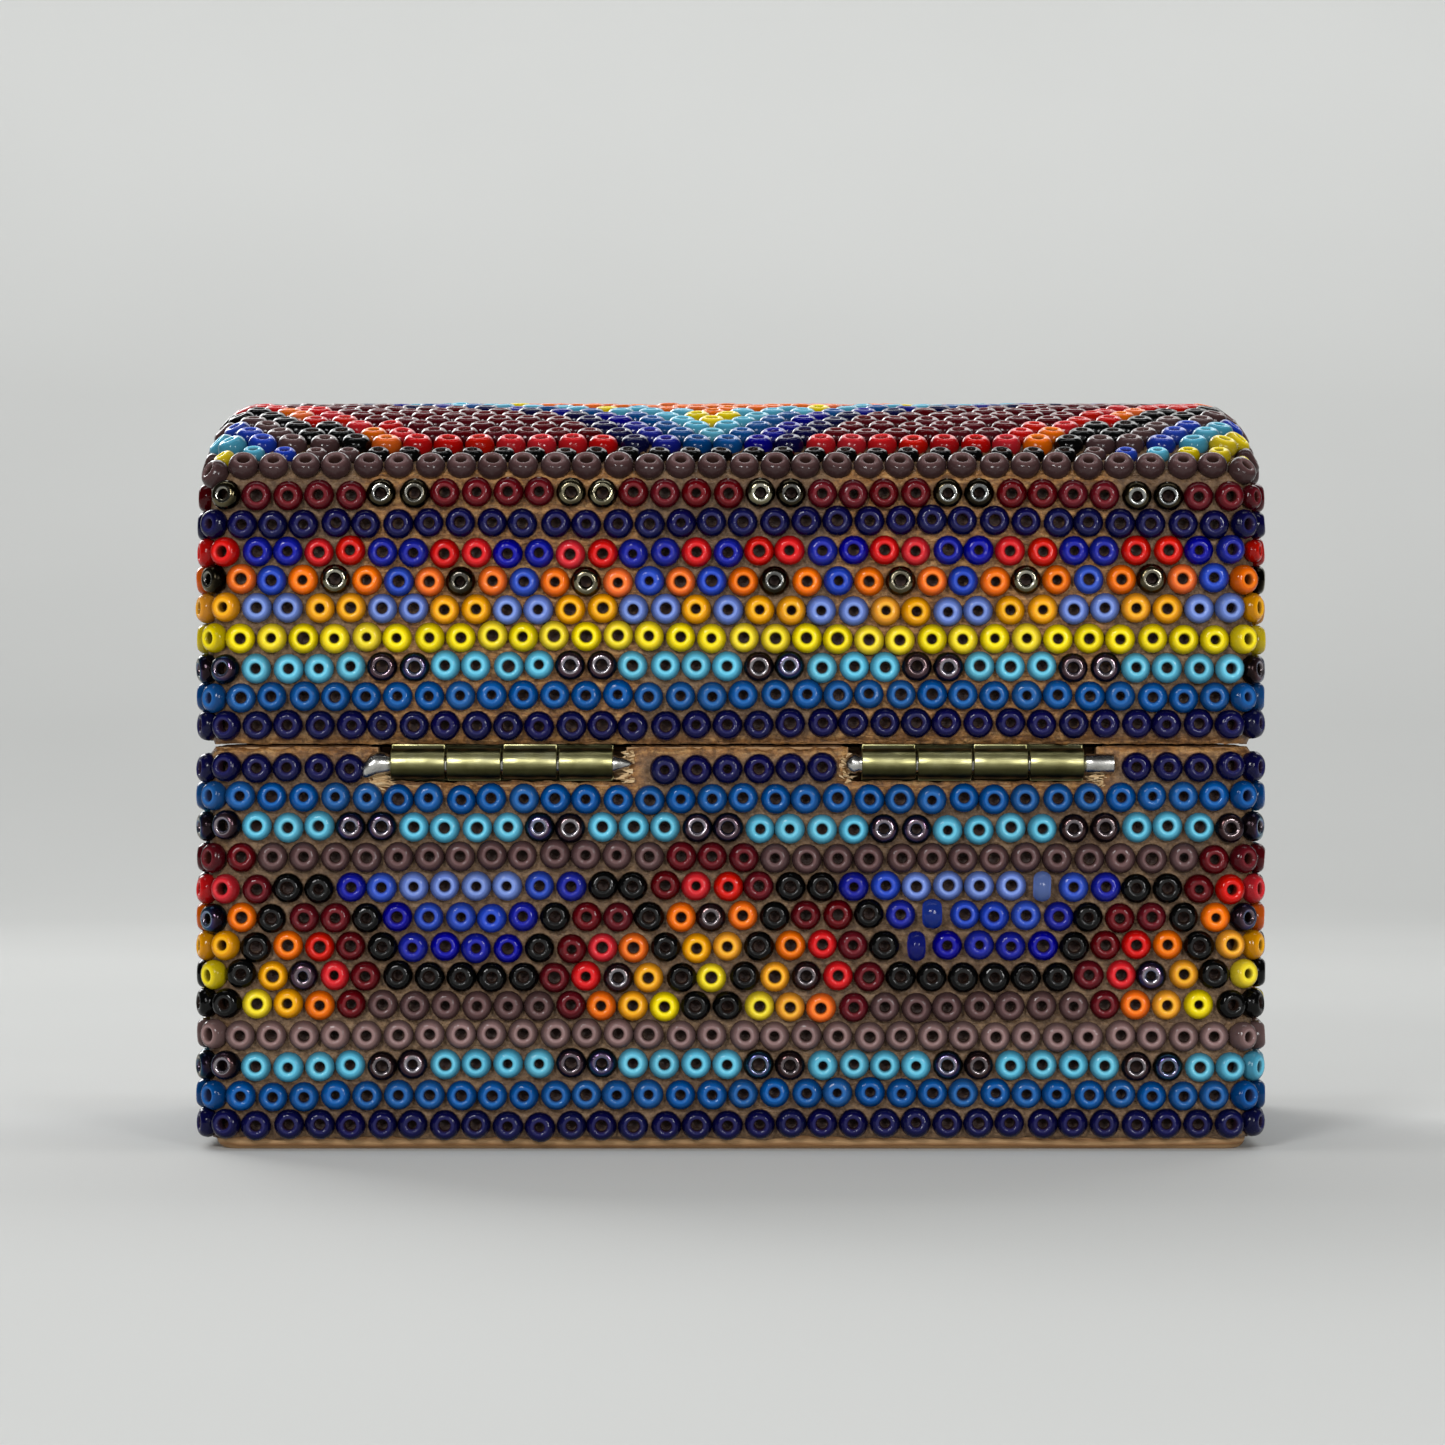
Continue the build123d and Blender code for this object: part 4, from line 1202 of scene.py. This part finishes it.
# ---------------------------------------------------------------- stage, light and camera
def backdrop():
    """A pale floor that sweeps up beyond the box in one curve."""
    section = [(FLOOR_FRONT, 0.0)]
    for step in range(SWEEP_STEPS + 1):
        angle = step / SWEEP_STEPS * math.pi / 2
        y = SWEEP_BEND - SWEEP_BACK - SWEEP_BEND * math.sin(angle)
        section.append((y, SWEEP_BEND - SWEEP_BEND * math.cos(angle)))
    section.append((-SWEEP_BACK, SWEEP_TOP))
    points = np.array([(x, y, z) for y, z in section for x in (-SWEEP_HALF_WIDTH, SWEEP_HALF_WIDTH)])
    faces = np.array([(2 * k, 2 * k + 1, 2 * k + 3, 2 * k + 2) for k in range(len(section) - 1)])
    sweep = mesh_object("backdrop", points, faces)
    sweep.data.materials.append(backdrop_paint())


def soft_light(name, place, target, size, power, spread):
    """One rectangular soft light aimed at a point."""
    data = bpy.data.lights.new(name, "AREA")
    data.shape = "RECTANGLE"
    data.size, data.size_y = size
    data.energy = power
    data.spread = math.radians(spread)
    lamp = bpy.data.objects.new(name, data)
    bpy.context.scene.collection.objects.link(lamp)
    lamp.location = place
    lamp.rotation_euler = (Vector(target) - Vector(place)).to_track_quat("-Z", "Y").to_euler()


def surround():
    """A pale surround: soft as light, dim in reflections, and plain light grey where the camera sees it."""
    world = bpy.data.worlds.new("surround")
    world.use_nodes = True
    tree = world.node_tree
    background = tree.nodes["Background"]
    background.inputs["Color"].default_value = (0.93, 0.94, 0.93, 1)
    path = tree.nodes.new("ShaderNodeLightPath")
    level = tree.nodes.new("ShaderNodeMapRange")
    tree.links.new(path.outputs["Is Glossy Ray"], level.inputs["Value"])
    level.inputs["To Min"].default_value = SURROUND_LIGHT
    level.inputs["To Max"].default_value = SURROUND_IN_GLOSS
    seen = tree.nodes.new("ShaderNodeMapRange")
    tree.links.new(path.outputs["Is Camera Ray"], seen.inputs["Value"])
    tree.links.new(level.outputs[0], seen.inputs["To Min"])
    seen.inputs["To Max"].default_value = SURROUND_SEEN
    tree.links.new(seen.outputs[0], background.inputs["Strength"])
    bpy.context.scene.world = world


def camera():
    """Level camera behind the box."""
    data = bpy.data.cameras.new("camera")
    data.sensor_width = SENSOR_WIDTH
    data.lens = data.sensor_width * CAMERA_DISTANCE / VIEW_WIDTH
    data.clip_start = 0.01
    eye = bpy.data.objects.new("camera", data)
    bpy.context.scene.collection.objects.link(eye)
    back = CAD_BOUNDS[1][1]
    eye.location = (CAMERA_SIDE * MM, back + CAMERA_DISTANCE * MM, CAMERA_HEIGHT * MM)
    eye.rotation_euler = (math.pi / 2, 0, math.pi)
    bpy.context.scene.camera = eye
    bpy.context.scene.view_settings.view_transform = "Standard"


beads = all_beads()
base_wax(*beads["base"])
plan, columns, normals = lid_surface()
lid_wax(plan, columns, normals, *squeezed_beads(columns, normals, *beads["lid"]))
rim_wax()
bare_wood()
splinters()
for side in HINGE_CENTRES:
    hinge_leaf(side, "base")
    hinge_leaf(side, "lid")
    hinge_pin(side)
nails()
backdrop()
for light in SOFT_LIGHTS:
    soft_light(*light)
surround()
camera()
